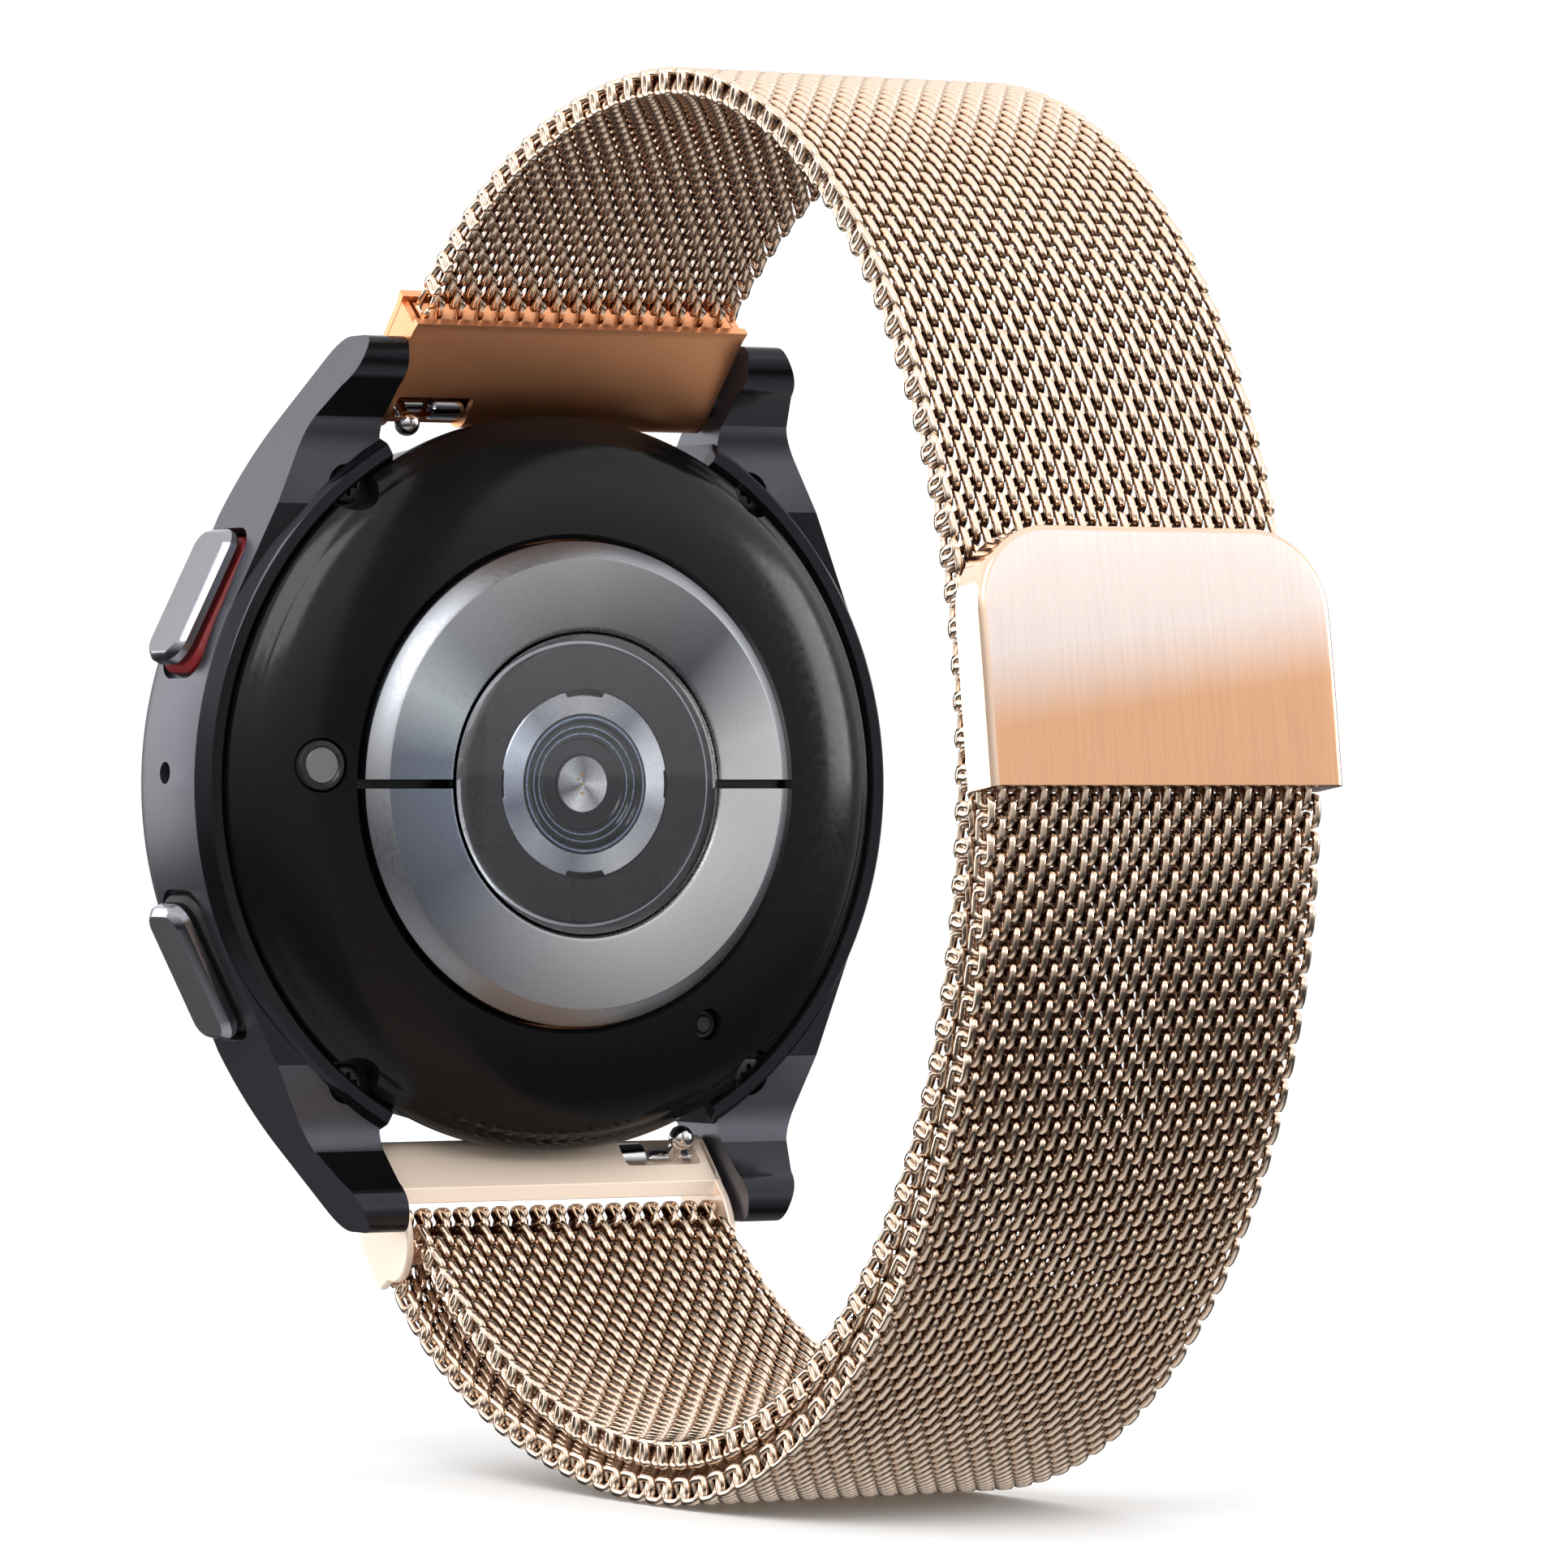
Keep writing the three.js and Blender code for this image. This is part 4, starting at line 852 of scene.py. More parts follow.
        shell = Shell()
        for i in range(5):
            x, z = 0.10 + 0.22 * (i % 2), -0.5 + 0.25 * i
            shell.slab(rounded_loop(0.16, 0.12, 0.03, 3), (-1.13, -1.09), x, z)
        place(crisp(shell.build("lens_pads", [GOLD_PAD])), "watch_head", slot="copper_winding")

    def build_light_ring(self) -> None:
        """The bright ring: its outer radius drops by a step inside four notches."""
        turn = np.linspace(0, 2 * np.pi, 721)[:-1]
        outer = np.full_like(turn, self.light_ring)
        for middle, deep, half in ((90, 0.3, 14.0), (270, 0.3, 14.0), (0, 0.12, 9.0), (180, 0.12, 9.0)):
            away = np.abs((np.degrees(turn) - middle + 180) % 360 - 180)
            outer -= deep * np.clip((half - away) / 1.2, 0, 1)
        rows = []
        bore = self.light_bore
        for radius, y in ((bore, -1.35), (bore, -1.0), (outer - 0.05, -1.0), (outer, -1.05), (outer, -1.35)):
            r = np.broadcast_to(radius, turn.shape)
            rows.append(np.stack([r * np.cos(turn), np.full_like(turn, y), r * np.sin(turn)], -1))
        shell = Shell()
        shell.grid(np.stack(rows), around=True, along=True)
        place(crisp(shell.build("light_guide_ring", [LIGHT_RING_PAINTED_REFLECTION])), "watch_head", "light_ring",
              slot="sensor_metal")

    def build_front(self) -> None:
        """The front glass: flat, with a rounded edge."""
        r, y = self.glass, self.front
        edge = bend_curve((r - 0.7, y), (r - 0.05, y + 0.03), (r, y + 0.5), 8)
        shell = Shell()
        turned(shell, [(0.0, y), *map(tuple, edge), (r, y + 1.15), (0.0, y + 1.15)])
        place(crisp(shell.build("glass_disc", [FRONT_GLASS])), "watch_head", "display_glass",
              slot="front_glass")
        shell = Shell()
        turned(shell, [(r - 2.0, y - 0.02), (r - 1.85, y - 0.02), (r - 1.85, y + 0.02),
                       (r - 2.0, y + 0.02)], 192, 0)
        place(shell.build("glass_print_line", [DARK_STEEL]), "watch_head", slot="dark_plastic")

    def button_block(self, name: str, side: int, length: float, width: float,
                     levels: list[Pair], finishes: list[Finish] | None = None,
                     bands: list[int] | None = None) -> Piece:
        """A rounded block on a button's axis.

        Args:
            name: The object's name.
            side: 1 for the upper button and -1 for the lower.
            length: Along the case's edge.
            width: Along the watch's axis.
            levels: Inset and distance from the watch's axis, for each loop.
            finishes: Its finishes.
            bands: Which finish each band takes.

        Returns:
            The block.
        """
        turn = side * math.radians(self.button_angle)
        out = np.array([math.cos(turn), 0, math.sin(turn)])
        up = np.array([-math.sin(turn), 0, math.cos(turn)])
        loops = []
        for inset, distance in levels:
            corner = max(0.2, min(width, length) * 0.32 - inset)
            loop = rounded_loop(width - 2 * inset, length - 2 * inset, corner)
            points = distance * out + loop[:, 1:] * up
            points[:, 1] += self.button_depth + loop[:, 0]
            loops.append(points)
        shell = Shell()
        shell.loft(np.stack(loops), bands)
        return shell.build(name, finishes or [BLACK_PLASTIC])

    def build_button(self, name: str, side: int) -> None:
        """A button's cap with its polished chamfer and brushed face, and the seal under it."""
        floor = self.pocket_floor + 0.1
        top = floor + 0.65
        foot = top + 0.4
        levels = [(0.25, foot), (0.05, foot), (0.0, foot + 0.08), (0.0, foot + 0.5), (0.05, foot + 0.58),
                  (0.30, foot + 0.85), (0.38, foot + 0.9)]
        cap = self.button_block(f"{name}_button_cap", side, self.button_length, self.button_width, levels,
                                [BUTTON_FACE, GRAPHITE_EDGE], [1, 1, 1, 1, 1, 1, 1, 0])
        place(crisp(cap, 25), f"{name}_button", f"{name}_button", slot="graphite_case")
        levels = [(0.0, floor), (0.0, floor + 0.15), (-0.06, floor + 0.35), (0.0, top - 0.1),
                  (0.15, top + 0.08)]
        seal = self.button_block(f"{name}_seal", side, self.button_length + 0.06, self.button_width + 0.22,
                                 levels,
                                 [RED_SEAL if side > 0 else BLACK_SEAL])
        place(crisp(seal), "watch_head", f"{name}_button_seal", slot="red_seal" if side > 0 else "black_seal")


# ---------------------------------------------------------------- strap


@dataclass
class Line:
    """A centreline in the Y-Z plane, with the way to the wrist at each of its points."""

    points: np.ndarray
    wristward: float

    def __post_init__(self) -> None:
        """Adds a straight run at both ends and measures the distance along the line."""
        step = 4.0
        first = self.points[0] - self.points[1]
        last = self.points[-1] - self.points[-2]
        before = self.points[0] + step * first / np.hypot(*first)
        after = self.points[-1] + step * last / np.hypot(*last)
        self.points = np.concatenate([[before], self.points, [after]])
        gaps = np.hypot(*np.diff(self.points, axis=0).T)
        self.distance = np.concatenate([[0], np.cumsum(gaps)]) - step
        self.tangents = np.gradient(self.points, self.distance, axis=0)

    def at(self, s: np.ndarray) -> tuple[np.ndarray, np.ndarray, np.ndarray]:
        """Point, direction and way to the wrist at distances along the line, each with a last axis of 2."""
        point = np.stack([np.interp(s, self.distance, self.points[:, i]) for i in (0, 1)], -1)
        way = np.stack([np.interp(s, self.distance, self.tangents[:, i]) for i in (0, 1)], -1)
        way /= np.linalg.norm(way, axis=-1, keepdims=True)
        wrist = self.wristward * np.stack([way[..., 1], -way[..., 0]], -1)
        return point, way, wrist


def arc(centre: Pair, radii: Pair, start: float, end: float, steps: int) -> np.ndarray:
    """Part of an ellipse in the Y-Z plane, between two angles in radians."""
    turn = np.linspace(start, end, steps)
    return np.stack([centre[0] + radii[0] * np.cos(turn), centre[1] + radii[1] * np.sin(turn)], -1)


@dataclass
class Loop:
    """The strap's two layers as centrelines, from the same sizes as its CAD lengths."""

    end_slope: float = math.radians(47)
    clamp_length: float = 6.6
    bar: Pair = (-6.3, 20.7)
    top: float = 36.0
    bottom: float = 34.4
    apex: float = 23.5
    reach: float = 29.6
    fold_bar_offset: Pair = (5.2, -1.2)
    fold_radius: float = 1.65
    layer_pitch: float = 1.85
    tail_slope: float = math.radians(52)

    def level_slope(self, point: Pair, level: float) -> float:
        """The slope of an arc from a point that is level at the loop's highest or lowest point."""
        return 2 * math.atan2(level - abs(point[1]), self.apex - point[0])

    def fold_bar(self) -> Pair:
        """Where the bar is that the strap folds over."""
        c, s = math.cos(self.end_slope), math.sin(self.end_slope)
        along, across = self.fold_bar_offset
        return self.bar[0] + along * c + across * s, -self.bar[1] - along * s + across * c

    def lower_slope(self) -> float:
        """The slope at which the single layer meets the fold."""
        slope = self.end_slope
        for _ in range(12):
            slope = self.level_slope(self.fold_start(slope), self.bottom)
        return slope

    def fold_start(self, slope: float) -> Pair:
        """Where the single layer ends, beside the fold bar."""
        y, z = self.fold_bar()
        return y + self.fold_radius * math.sin(slope), z + self.fold_radius * math.cos(slope)

    def inner(self) -> Line:
        """The single layer: an arc up from the clamp, half of a round loop, and an arc down to the fold."""
        mouth = (self.bar[0] + self.clamp_length * math.cos(self.end_slope),
                 self.bar[1] + self.clamp_length * math.sin(self.end_slope))
        up = self.level_slope(mouth, self.top)
        rise = (self.apex - mouth[0]) / math.sin(up)
        down = self.lower_slope()
        fall = (self.apex - self.fold_start(down)[0]) / math.sin(down)
        quarter = math.pi / 2
        parts = [
            arc((self.apex, self.top - rise), (rise, rise), quarter + up, quarter, 160),
            arc((self.apex, 0), (self.reach, self.top), quarter, 0, 500)[1:],
            arc((self.apex, 0), (self.reach, self.bottom), 0, -quarter, 500)[1:],
            arc((self.apex, fall - self.bottom), (fall, fall), -quarter, -quarter - down, 160)[1:],
        ]
        return Line(np.concatenate(parts), 1.0)

    def outer(self) -> Line:
        """The second layer: round the fold bar, back to the first layer, and up the outside."""
        bar = self.fold_bar()
        low = self.bottom + self.layer_pitch
        start = (bar[0] - self.fold_radius * math.sin(self.tail_slope),
                 bar[1] - self.fold_radius * math.cos(self.tail_slope))
        run = self.apex - start[0]
        handles = np.array([
            start, (start[0] + run * 0.2 * math.cos(self.tail_slope),
                    start[1] - run * 0.2 * math.sin(self.tail_slope)),
            (self.apex - run * 0.5, -low), (self.apex, -low)])
        t = np.linspace(0, 1, 300)[:, None]
        shares = [(1 - t) ** 3, 3 * t * (1 - t) ** 2, 3 * t**2 * (1 - t), t**3]
        sweep = sum(share * handle for share, handle in zip(shares, handles))
        quarter = math.pi / 2
        fold = arc(bar, (self.fold_radius, self.fold_radius), quarter - self.lower_slope(),
                   3 * quarter - self.tail_slope, 120)
        rise = arc((self.apex, 0), (self.reach + self.layer_pitch, low), -quarter, 0, 500)
        return Line(np.concatenate([fold, sweep[1:], rise[1:]]), -1.0)


@dataclass
class Weave:
    """Woven rows of flattened wire coils, each row caught in the turns of its neighbours.

    Round a coil's turn by the angle t, the wire is at half the turn's length times cos t along the strap, and
    near half its depth times sin t through it. It crosses the strap as t plus a share of sin 2t and a third
    of that share of sin 4t, so it lies nearly lengthwise on both faces and crosses at the turns. Every second
    row is half a turn on. At the strap's edges each coil ends in a flat hook, in the plane of the edge.

    A row that leans on or back starts at the first of its two angles in degrees,
    and turns by the second beyond
    its whole turns. The wire's ends are pinched to a share of its size. The painted shade between the rows starts
    to lift within the rim's width of an edge, and is gone over a shorter one.
    """

    width: float = 19.4
    pitch: float = 0.9
    half_turn: float = 0.70
    half_depth: float = 0.55
    wire: float = 0.22
    turns: int = 15
    cross_share: float = 0.6
    flatness: float = 2.4
    edge_inset: float = 0.20
    edge_flat: float = 0.055
    segments: int = 16
    sides: int = 6
    hook_turn: float = 120.0
    hook_steps: int = 5
    leaning_on: Pair = (340.0, 140.0)
    leaning_back: Pair = (460.0, 340.0)
    pinch: float = 0.55
    rim: float = 0.55
    fade: float = 0.3

    def angles(self, lean: int) -> tuple[np.ndarray, np.ndarray]:
        """The angles along one row's wire in radians, and its place across the strap at each.

        Args:
            lean: Which way the wire turns between its two edge hooks, 1 or -1.
        """
        hook = math.radians(self.hook_turn)
        start, beyond = self.leaning_on if lean > 0 else self.leaning_back
        first = math.radians(start)
        span = math.radians(beyond) + 2 * math.pi * self.turns
        count = round(span / (2 * math.pi) * self.segments)
        last = first - lean * span
        inside = np.linspace(first, last, count + 1)
        left = np.linspace(first + lean * hook, first, self.hook_steps + 1)[:-1]
        right = np.linspace(last, last - lean * hook, self.hook_steps + 1)[1:]
        edge = self.width / 2 - self.edge_inset
        moved = inside + self.cross_share * (np.sin(2 * inside) + np.sin(4 * inside) / 3)
        share = (moved[0] - moved) / (moved[0] - moved[-1])
        still = np.full(self.hook_steps, edge)
        x = np.concatenate([-still, -edge + 2 * edge * share, still])
        return np.concatenate([left, inside, right]), x

    def rows(self, line: Line, start: float, count: int, mirror: float, shell: Shell) -> None:
        """Adds rows of wire to a shell.

        Args:
            line: The strap's centreline.
            start: The distance along it where the rows start.
            count: How many rows.
            mirror: -1 turns the coils the other way.
            shell: Where they go.
        """
        turn, x = self.angles(1 if mirror > 0 else -1)
        number = np.round(start / self.pitch) + np.arange(count)
        theta = turn[None, :] + np.pi * (number % 2)[:, None]
        along = mirror * self.half_turn * np.cos(theta)
        depth = self.half_depth * np.tanh(self.flatness * np.sin(theta)) / math.tanh(self.flatness)
        s = (start + (np.arange(count) + 0.5) * self.pitch)[:, None] + along
        point, way, wrist = line.at(s)
        laid = point + wrist * depth[..., None]
        across = np.broadcast_to(x, s.shape)
        middle = np.stack([across, laid[..., 0], laid[..., 1]], -1)
        tangent = np.gradient(middle, axis=1)
        tangent /= np.linalg.norm(tangent, axis=-1, keepdims=True)
        side = np.stack([np.zeros_like(across), tangent[..., 2], -tangent[..., 1]], -1)
        side /= np.linalg.norm(side, axis=-1, keepdims=True)
        other = np.cross(tangent, side)
        spin = np.linspace(0, 2 * np.pi, self.sides, endpoint=False) + np.pi / self.sides
        ring = np.cos(spin)[:, None] * side[:, :, None] + np.sin(spin)[:, None] * other[:, :, None]
        size = np.full(middle.shape[1], self.wire)
        size[[0, -1]] *= self.pinch
        tube = middle[:, :, None] + ring * size[None, :, None, None]
        limit = self.width / 2 - self.edge_flat
        tube[..., 0] = np.clip(tube[..., 0], -limit, limit)
        # Painted shade mask: 0 deep in the middle between the rows, 1 at the strap's faces, and lifted to 1 near
        # its edges.
        lift = np.einsum("rsvk,rsk->rsv", ring[..., 1:] * self.wire, np.broadcast_to(wrist, laid.shape))
        painted_shade_mask = np.abs(depth[..., None] + lift) / (self.half_depth + self.wire)
        at_edge = np.clip((np.abs(tube[..., 0]) - self.width / 2 + self.rim) / self.fade, 0, 1)
        shell.painted_shade_mask.append(np.maximum(painted_shade_mask, at_edge).ravel())
        for row in tube:
            numbers = shell.grid(row, around=True)
            for end, back in ((numbers[0], True), (numbers[-1], False)):
                pairs = np.array([[end[0], end[1], end[2], end[3]], [end[0], end[3], end[4], end[5]]])
                shell.faces.append(pairs[:, ::-1] if back else pairs)
                shell.finishes += [0, 0]


@dataclass
class Strap:
    """The woven strap: its lengths of rows, each in place of its CAD length."""

    loop: Loop = field(default_factory=Loop)
    weave: Weave = field(default_factory=Weave)
    strap_rows: tuple[int, ...] = (9, 9, 9, 11, 13, 11, 9, 9, 8)
    tail_rows: tuple[int, ...] = (4, 8, 9, 9, 9, 10)
    peel_length: float = 9.0

    def build(self) -> None:
        """Builds both layers."""
        inner, outer = self.loop.inner(), self.loop.outer()
        bodies = ["strap_length_1", "strap_length_2", "strap_length_3", *["strap_length_4"] * 4,
                  "strap_length_8",
                  "strap_length_9"]
        self.layer("strap", inner, self.strap_rows, bodies, 1.0)
        bodies = ["lower_end_piece", *[f"tail_length_{i}" for i in range(2, 7)]]
        self.layer("tail", outer, self.tail_rows, bodies, -1.0)

    def layer(self, prefix: str, line: Line, rows: tuple[int, ...], bodies: list[str], mirror: float) -> None:
        """Builds one layer's lengths; the two that peel away stay where they are made, on no body, and are not
        bent.

        Args:
            prefix: The start of the lengths' names.
            line: The layer's centreline.
            rows: Pairs of rows in each length.
            bodies: The body of each length.
            mirror: Which way the coils turn.
        """
        pair = 2 * self.weave.pitch
        done = 0
        for i, (count, body) in enumerate(zip(rows, bodies)):
            shell = Shell()
            extra = 1 if prefix == "tail" and i == len(rows) - 1 else 0
            self.weave.rows(line, done * pair, 2 * count + extra, mirror, shell)
            made = shell.build(f"{prefix}_weave_{i + 1}", [ROSE_WIRE_PAINTED_SHADE], recalculate=False)
            outward(made.data)
            node = f"{prefix}_{i + 1:02d}"
            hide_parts(node)
            if body in ("tail_length_5", "tail_length_6"):
                ends = [line.at(np.array(done * pair + d))[0] for d in (0.0, self.peel_length)]
                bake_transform(made)
            else:
                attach(made, body)
            LOG.info("%s: %d faces", made.name, len(made.data.polygons))
            done += count


def outward(mesh: bpy.types.Mesh) -> None:
    """Turns a closed mesh's faces round if they enclose a negative volume."""
    mesh.calc_loop_triangles()
    corners = np.zeros(len(mesh.loop_triangles) * 3, np.int32)
    mesh.loop_triangles.foreach_get("vertices", corners)
    points = np.zeros(len(mesh.vertices) * 3, np.float32)
    mesh.vertices.foreach_get("co", points)
    a, b, c = points.reshape(-1, 3).astype(float)[corners.reshape(-1, 3)].transpose(1, 0, 2)
    if np.einsum("ij,ij->i", a, np.cross(b, c)).sum() < 0:
        mesh.flip_normals()


# ---------------------------------------------------------------- end pieces


@dataclass
class EndPiece:
    """What the two ends share: a frame tilted about its spring bar, in which its outlines are drawn."""

    name: str
    side: int
    slope: float = 47.0
    bar_depth: float = -6.3
    bar_height: float = 20.7
    width: float = 20.6
    barrel: float = 1.25
    wall: float = 0.4
    strap_width: float = 19.4
    tube: float = 0.85
    knob: float = 0.7
    knob_reach: float = 1.7
    travel: float = 1.15
    knob_inset: float = 1.3
    end_gap: float = 0.4
    lever_gap: float = 0.75
    pin: float = 0.45
    pin_reach: float = 0.9
    spring_wire: float = 0.08
    spring_turns: int = 5
    lug_gap: float = 21.2

    def lay(self, points: np.ndarray) -> np.ndarray:
        """Turns points from the end piece's own frame into the watch's."""
        turn = self.side * math.radians(self.slope)
        c, s = math.cos(turn), math.sin(turn)
        x, y, z = points[..., 0], points[..., 1], points[..., 2]
        return np.stack([x, y * c - z * s + self.bar_depth, y * s + z * c + self.side * self.bar_height], -1)

    def along_x(self, outline: np.ndarray, x0: float, x1: float) -> np.ndarray:
        """An outline in the end piece's own Y-Z plane, as two loops at x0 and x1."""
        return self.lay(np.stack([upright(outline, x) for x in (x0, x1)]))

    def rod(self, shell: Shell, radius: float, x0: float, x1: float, y: float = 0.0, z: float = 0.0,
            finish: int = 0, segments: int = 32) -> None:
        """Adds a round rod along X with a small chamfer at both ends."""
        edge = min(0.12, radius * 0.3)
        places = ((x0, radius - edge), (x0 + edge, radius), (x1 - edge, radius), (x1, radius - edge))
        loops = [upright(round_loop(r, segments) + [y, z], x) for x, r in places]
        shell.loft(self.lay(np.stack(loops)), [finish] * 5)

    def knob_place(self) -> float:
        """How far from the middle the release knob stands."""
        return self.width / 2 - self.end_gap - self.knob_inset

    def window_cutter(self, low: float, high: float) -> Piece:
        """A cutter for the opening that the knob slides in."""
        near = self.knob_place() - self.travel - 2.65
        far = self.width / 2 - 0.8
        loop = rounded_loop(far - near, 3.5, 0.3, 5) + [(near + far) / 2, -0.25]
        loops = [np.stack([self.side * loop[:, 0], loop[:, 1], np.full(len(loop), z)], -1)
                 for z in (low, high)]
        shell = Shell()
        shell.loft(self.lay(np.stack(loops)))
        return shell.build("cutter", [BLACK_PLASTIC])

    def build_bar(self, body: str, release: str) -> None:
        """The spring bar: a tube, a fixed pin, and the release pin with its lever and ball."""
        half = self.width / 2 - self.end_gap
        side = self.side
        shell = Shell()
        knob = self.knob_place()
        spans = [(-half, knob - self.travel - self.lever_gap), (knob + self.lever_gap, half)]
        for x0, x1 in spans:
            self.rod(shell, self.tube, *sorted((side * x0, side * x1)))
        place(crisp(shell.build(f"{self.name}_tube", [CHROME])), body, f"{self.name}_bar_tube",
              slot="polished_steel")
        shell = Shell()
        pin_end = self.lug_gap / 2 + self.pin_reach
        self.rod(shell, self.pin, *sorted((side * (knob - 1.5), side * pin_end)))
        wrist = -side
        self.ball(shell, side * knob, wrist * self.knob_reach)
        turn = np.linspace(0, 2 * np.pi, 20, endpoint=False)
        loops = []
        for z, r in ((0.0, 0.42), (0.9, 0.40), (1.2, 0.3), (1.5, 0.32), (self.knob_reach, 0.4)):
            loops.append(np.stack([side * knob + r * np.cos(turn), r * np.sin(turn),
                                   np.full(20, wrist * z)], -1))
        shell.loft(self.lay(np.stack(loops)))
        pin = shell.build(f"{self.name}_release", [CHROME])
        place(crisp(pin, 40), release, f"{self.name}_bar_release_pin", slot="polished_steel")
        self.build_spring(body)

    def build_spring(self, body: str) -> None:
        """The spring behind the release pin: a coil in its CAD node's box."""
        node = f"{self.name}_bar_spring"
        low, high = (np.array(v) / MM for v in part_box(node))
        length, wire = high[0] - low[0], self.spring_wire
        y, z = (low[1:] + high[1:]) / 2
        share = np.linspace(0, 1, 20 * self.spring_turns + 1)
        turn = 2 * np.pi * self.spring_turns * share
        out = np.stack([np.zeros_like(turn), np.cos(turn), np.sin(turn)], -1)
        start = np.array([low[0] + wire, y, z])
        middle = start + ((high[1] - low[1]) / 2 - wire) * out
        middle[:, 0] += (length - 2 * wire) * share
        tangent = np.gradient(middle, axis=0)
        tangent /= np.linalg.norm(tangent, axis=-1, keepdims=True)
        spin = np.linspace(0, 2 * np.pi, 10, endpoint=False)[:, None]
        ring = np.cos(spin) * out[:, None] + np.sin(spin) * np.cross(tangent, out)[:, None]
        shell = Shell()
        shell.loft(middle[:, None] + wire * ring)
        spring = place(shell.build(f"{self.name}_spring", [STEEL]), body, node, slot="polished_steel")
        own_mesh(spring)

    def ball(self, shell: Shell, x: float, z: float) -> None:
        """Adds the knob: a ball, slightly flat at its top."""
        up = np.linspace(0, np.pi, 17)[:, None]
        turn = np.linspace(0, 2 * np.pi, 32, endpoint=False)[None, :]
        r = self.knob
        sheet = np.stack(np.broadcast_arrays(
            x + r * np.sin(up) * np.cos(turn), r * np.sin(up) * np.sin(turn), z + 0.94 * r * np.cos(up)), -1)
        shell.grid(self.lay(sheet), around=True)


@dataclass
class UpperEnd(EndPiece):
    """The folded clamp that holds the strap's welded end."""

    clamp: float = 6.6

    def build(self) -> None:
        """A folded plate round the bar with two thin jaws, and the spring bar in it."""
        r, t = self.barrel, self.wall
        inside = r - t
        turn = np.linspace(-np.pi / 2, -3 * np.pi / 2, 25)
        nose = np.stack([r * np.cos(turn), r * np.sin(turn)], -1)
        inner = np.stack([inside * np.cos(turn[::-1]), inside * np.sin(turn[::-1])], -1)
        outline = np.concatenate([
            [(self.clamp + 0.15, -r - 0.12), (self.clamp - 0.5, -r)], nose,
            [(self.clamp - 0.5, r), (self.clamp + 0.15, r + 0.2), (self.clamp + 0.15, inside + 0.1),
             (self.clamp - 0.5, inside)],
            inner, [(self.clamp - 0.5, -inside), (self.clamp + 0.15, -inside - 0.05)],
        ])
        shell = Shell()
        shell.loft(self.along_x(outline, -self.width / 2, self.width / 2))
        clamp = shell.build("upper_clamp", [ROSE_PLATE])
        carve(clamp, [self.window_cutter(-3, -0.1)])
        soften(crisp(clamp), 0.09, 2)
        place(clamp, "upper_end_piece", "upper_end_clamp", slot="rose_steel")
        wall = np.array([(1.4, -inside - 0.1), (self.clamp - 0.2, -inside - 0.1),
                         (self.clamp - 0.2, inside + 0.1),
                         (1.4, inside + 0.1)])
        shell = Shell()
        near, far = self.strap_width / 2 + CLEARANCE, self.width / 2 - 0.02
        for x0, x1 in ((near, far), (-far, -near)):
            shell.loft(self.along_x(wall, x0, x1))
        place(crisp(shell.build("upper_clamp_walls", [ROSE_PLATE])), "upper_end_piece", slot="rose_steel")
        self.build_bar("upper_end_piece", "upper_release")


@dataclass
class LowerEnd(EndPiece):
    """The end piece with two cheeks and the bar that the strap folds over."""

    bar_place: Pair = (5.2, -1.2)
    bar_radius: float = 0.7

    def build(self) -> None:
        """A rolled barrel with its tongue, two cheeks and the fold bar, and the spring bar in it."""
        r = self.barrel
        turn = np.radians(np.linspace(90, 290, 30))
        roll = np.stack([r * np.cos(turn), r * np.sin(turn)], -1)
        outline = np.concatenate([
            [(2.75, r)], roll, [(1.6, -1.0), (2.35, 0.0), (3.1, r - 0.8), (3.4, r - 0.5)],
        ])
        half = self.width / 2
        shell = Shell()
        shell.loft(self.along_x(outline, -half, half))
        # Painted light: the barrel takes the lighter copy of the rose steel.
        barrel = shell.build("lower_barrel", [ROSE_SATIN_PAINTED_LIGHT])
        carve(barrel, [self.window_cutter(0.1, 3)])
        soften(crisp(barrel), 0.09, 2)
        place(barrel, "lower_end_piece", slot="rose_steel")
        y, z = self.bar_place
        turn = np.radians(np.linspace(270, 90, 20))
        back = np.stack([r * np.cos(turn), r * np.sin(turn)], -1)
        turn = np.radians(np.linspace(0, -60, 8))
        nose = np.stack([y + 1.6 * np.cos(turn), z + 1.6 * np.sin(turn)], -1)
        cheek = np.concatenate([
            back, bend_curve((y - 1.2, r), (y + 1.4, r - 0.4), (y + 1.6, z), 10), nose[1:],
            [(y + 0.6, z - 2.4), (2.4, z - 2.4)],
        ])
        inner = self.strap_width / 2 + CLEARANCE
        shell = Shell()
        for x0, x1 in ((inner, half), (-half, -inner)):
            shell.loft(self.along_x(cheek, x0, x1))
        # Painted light: the cheeks take the lighter copy of the rose steel.
        cheeks = shell.build("lower_cheeks", [ROSE_SATIN_PAINTED_LIGHT])
        soften(crisp(cheeks), 0.1, 3)
        place(cheeks, "lower_end_piece", "lower_end_frame", slot="rose_steel")
        shell = Shell()
        self.rod(shell, self.bar_radius, -half + 0.1, half - 0.1, y, z)
        place(crisp(shell.build("fold_bar", [ROSE_POLISH])), "lower_end_piece", slot="rose_steel")
        self.build_bar("lower_end_piece", "lower_release")


# ---------------------------------------------------------------- clasp


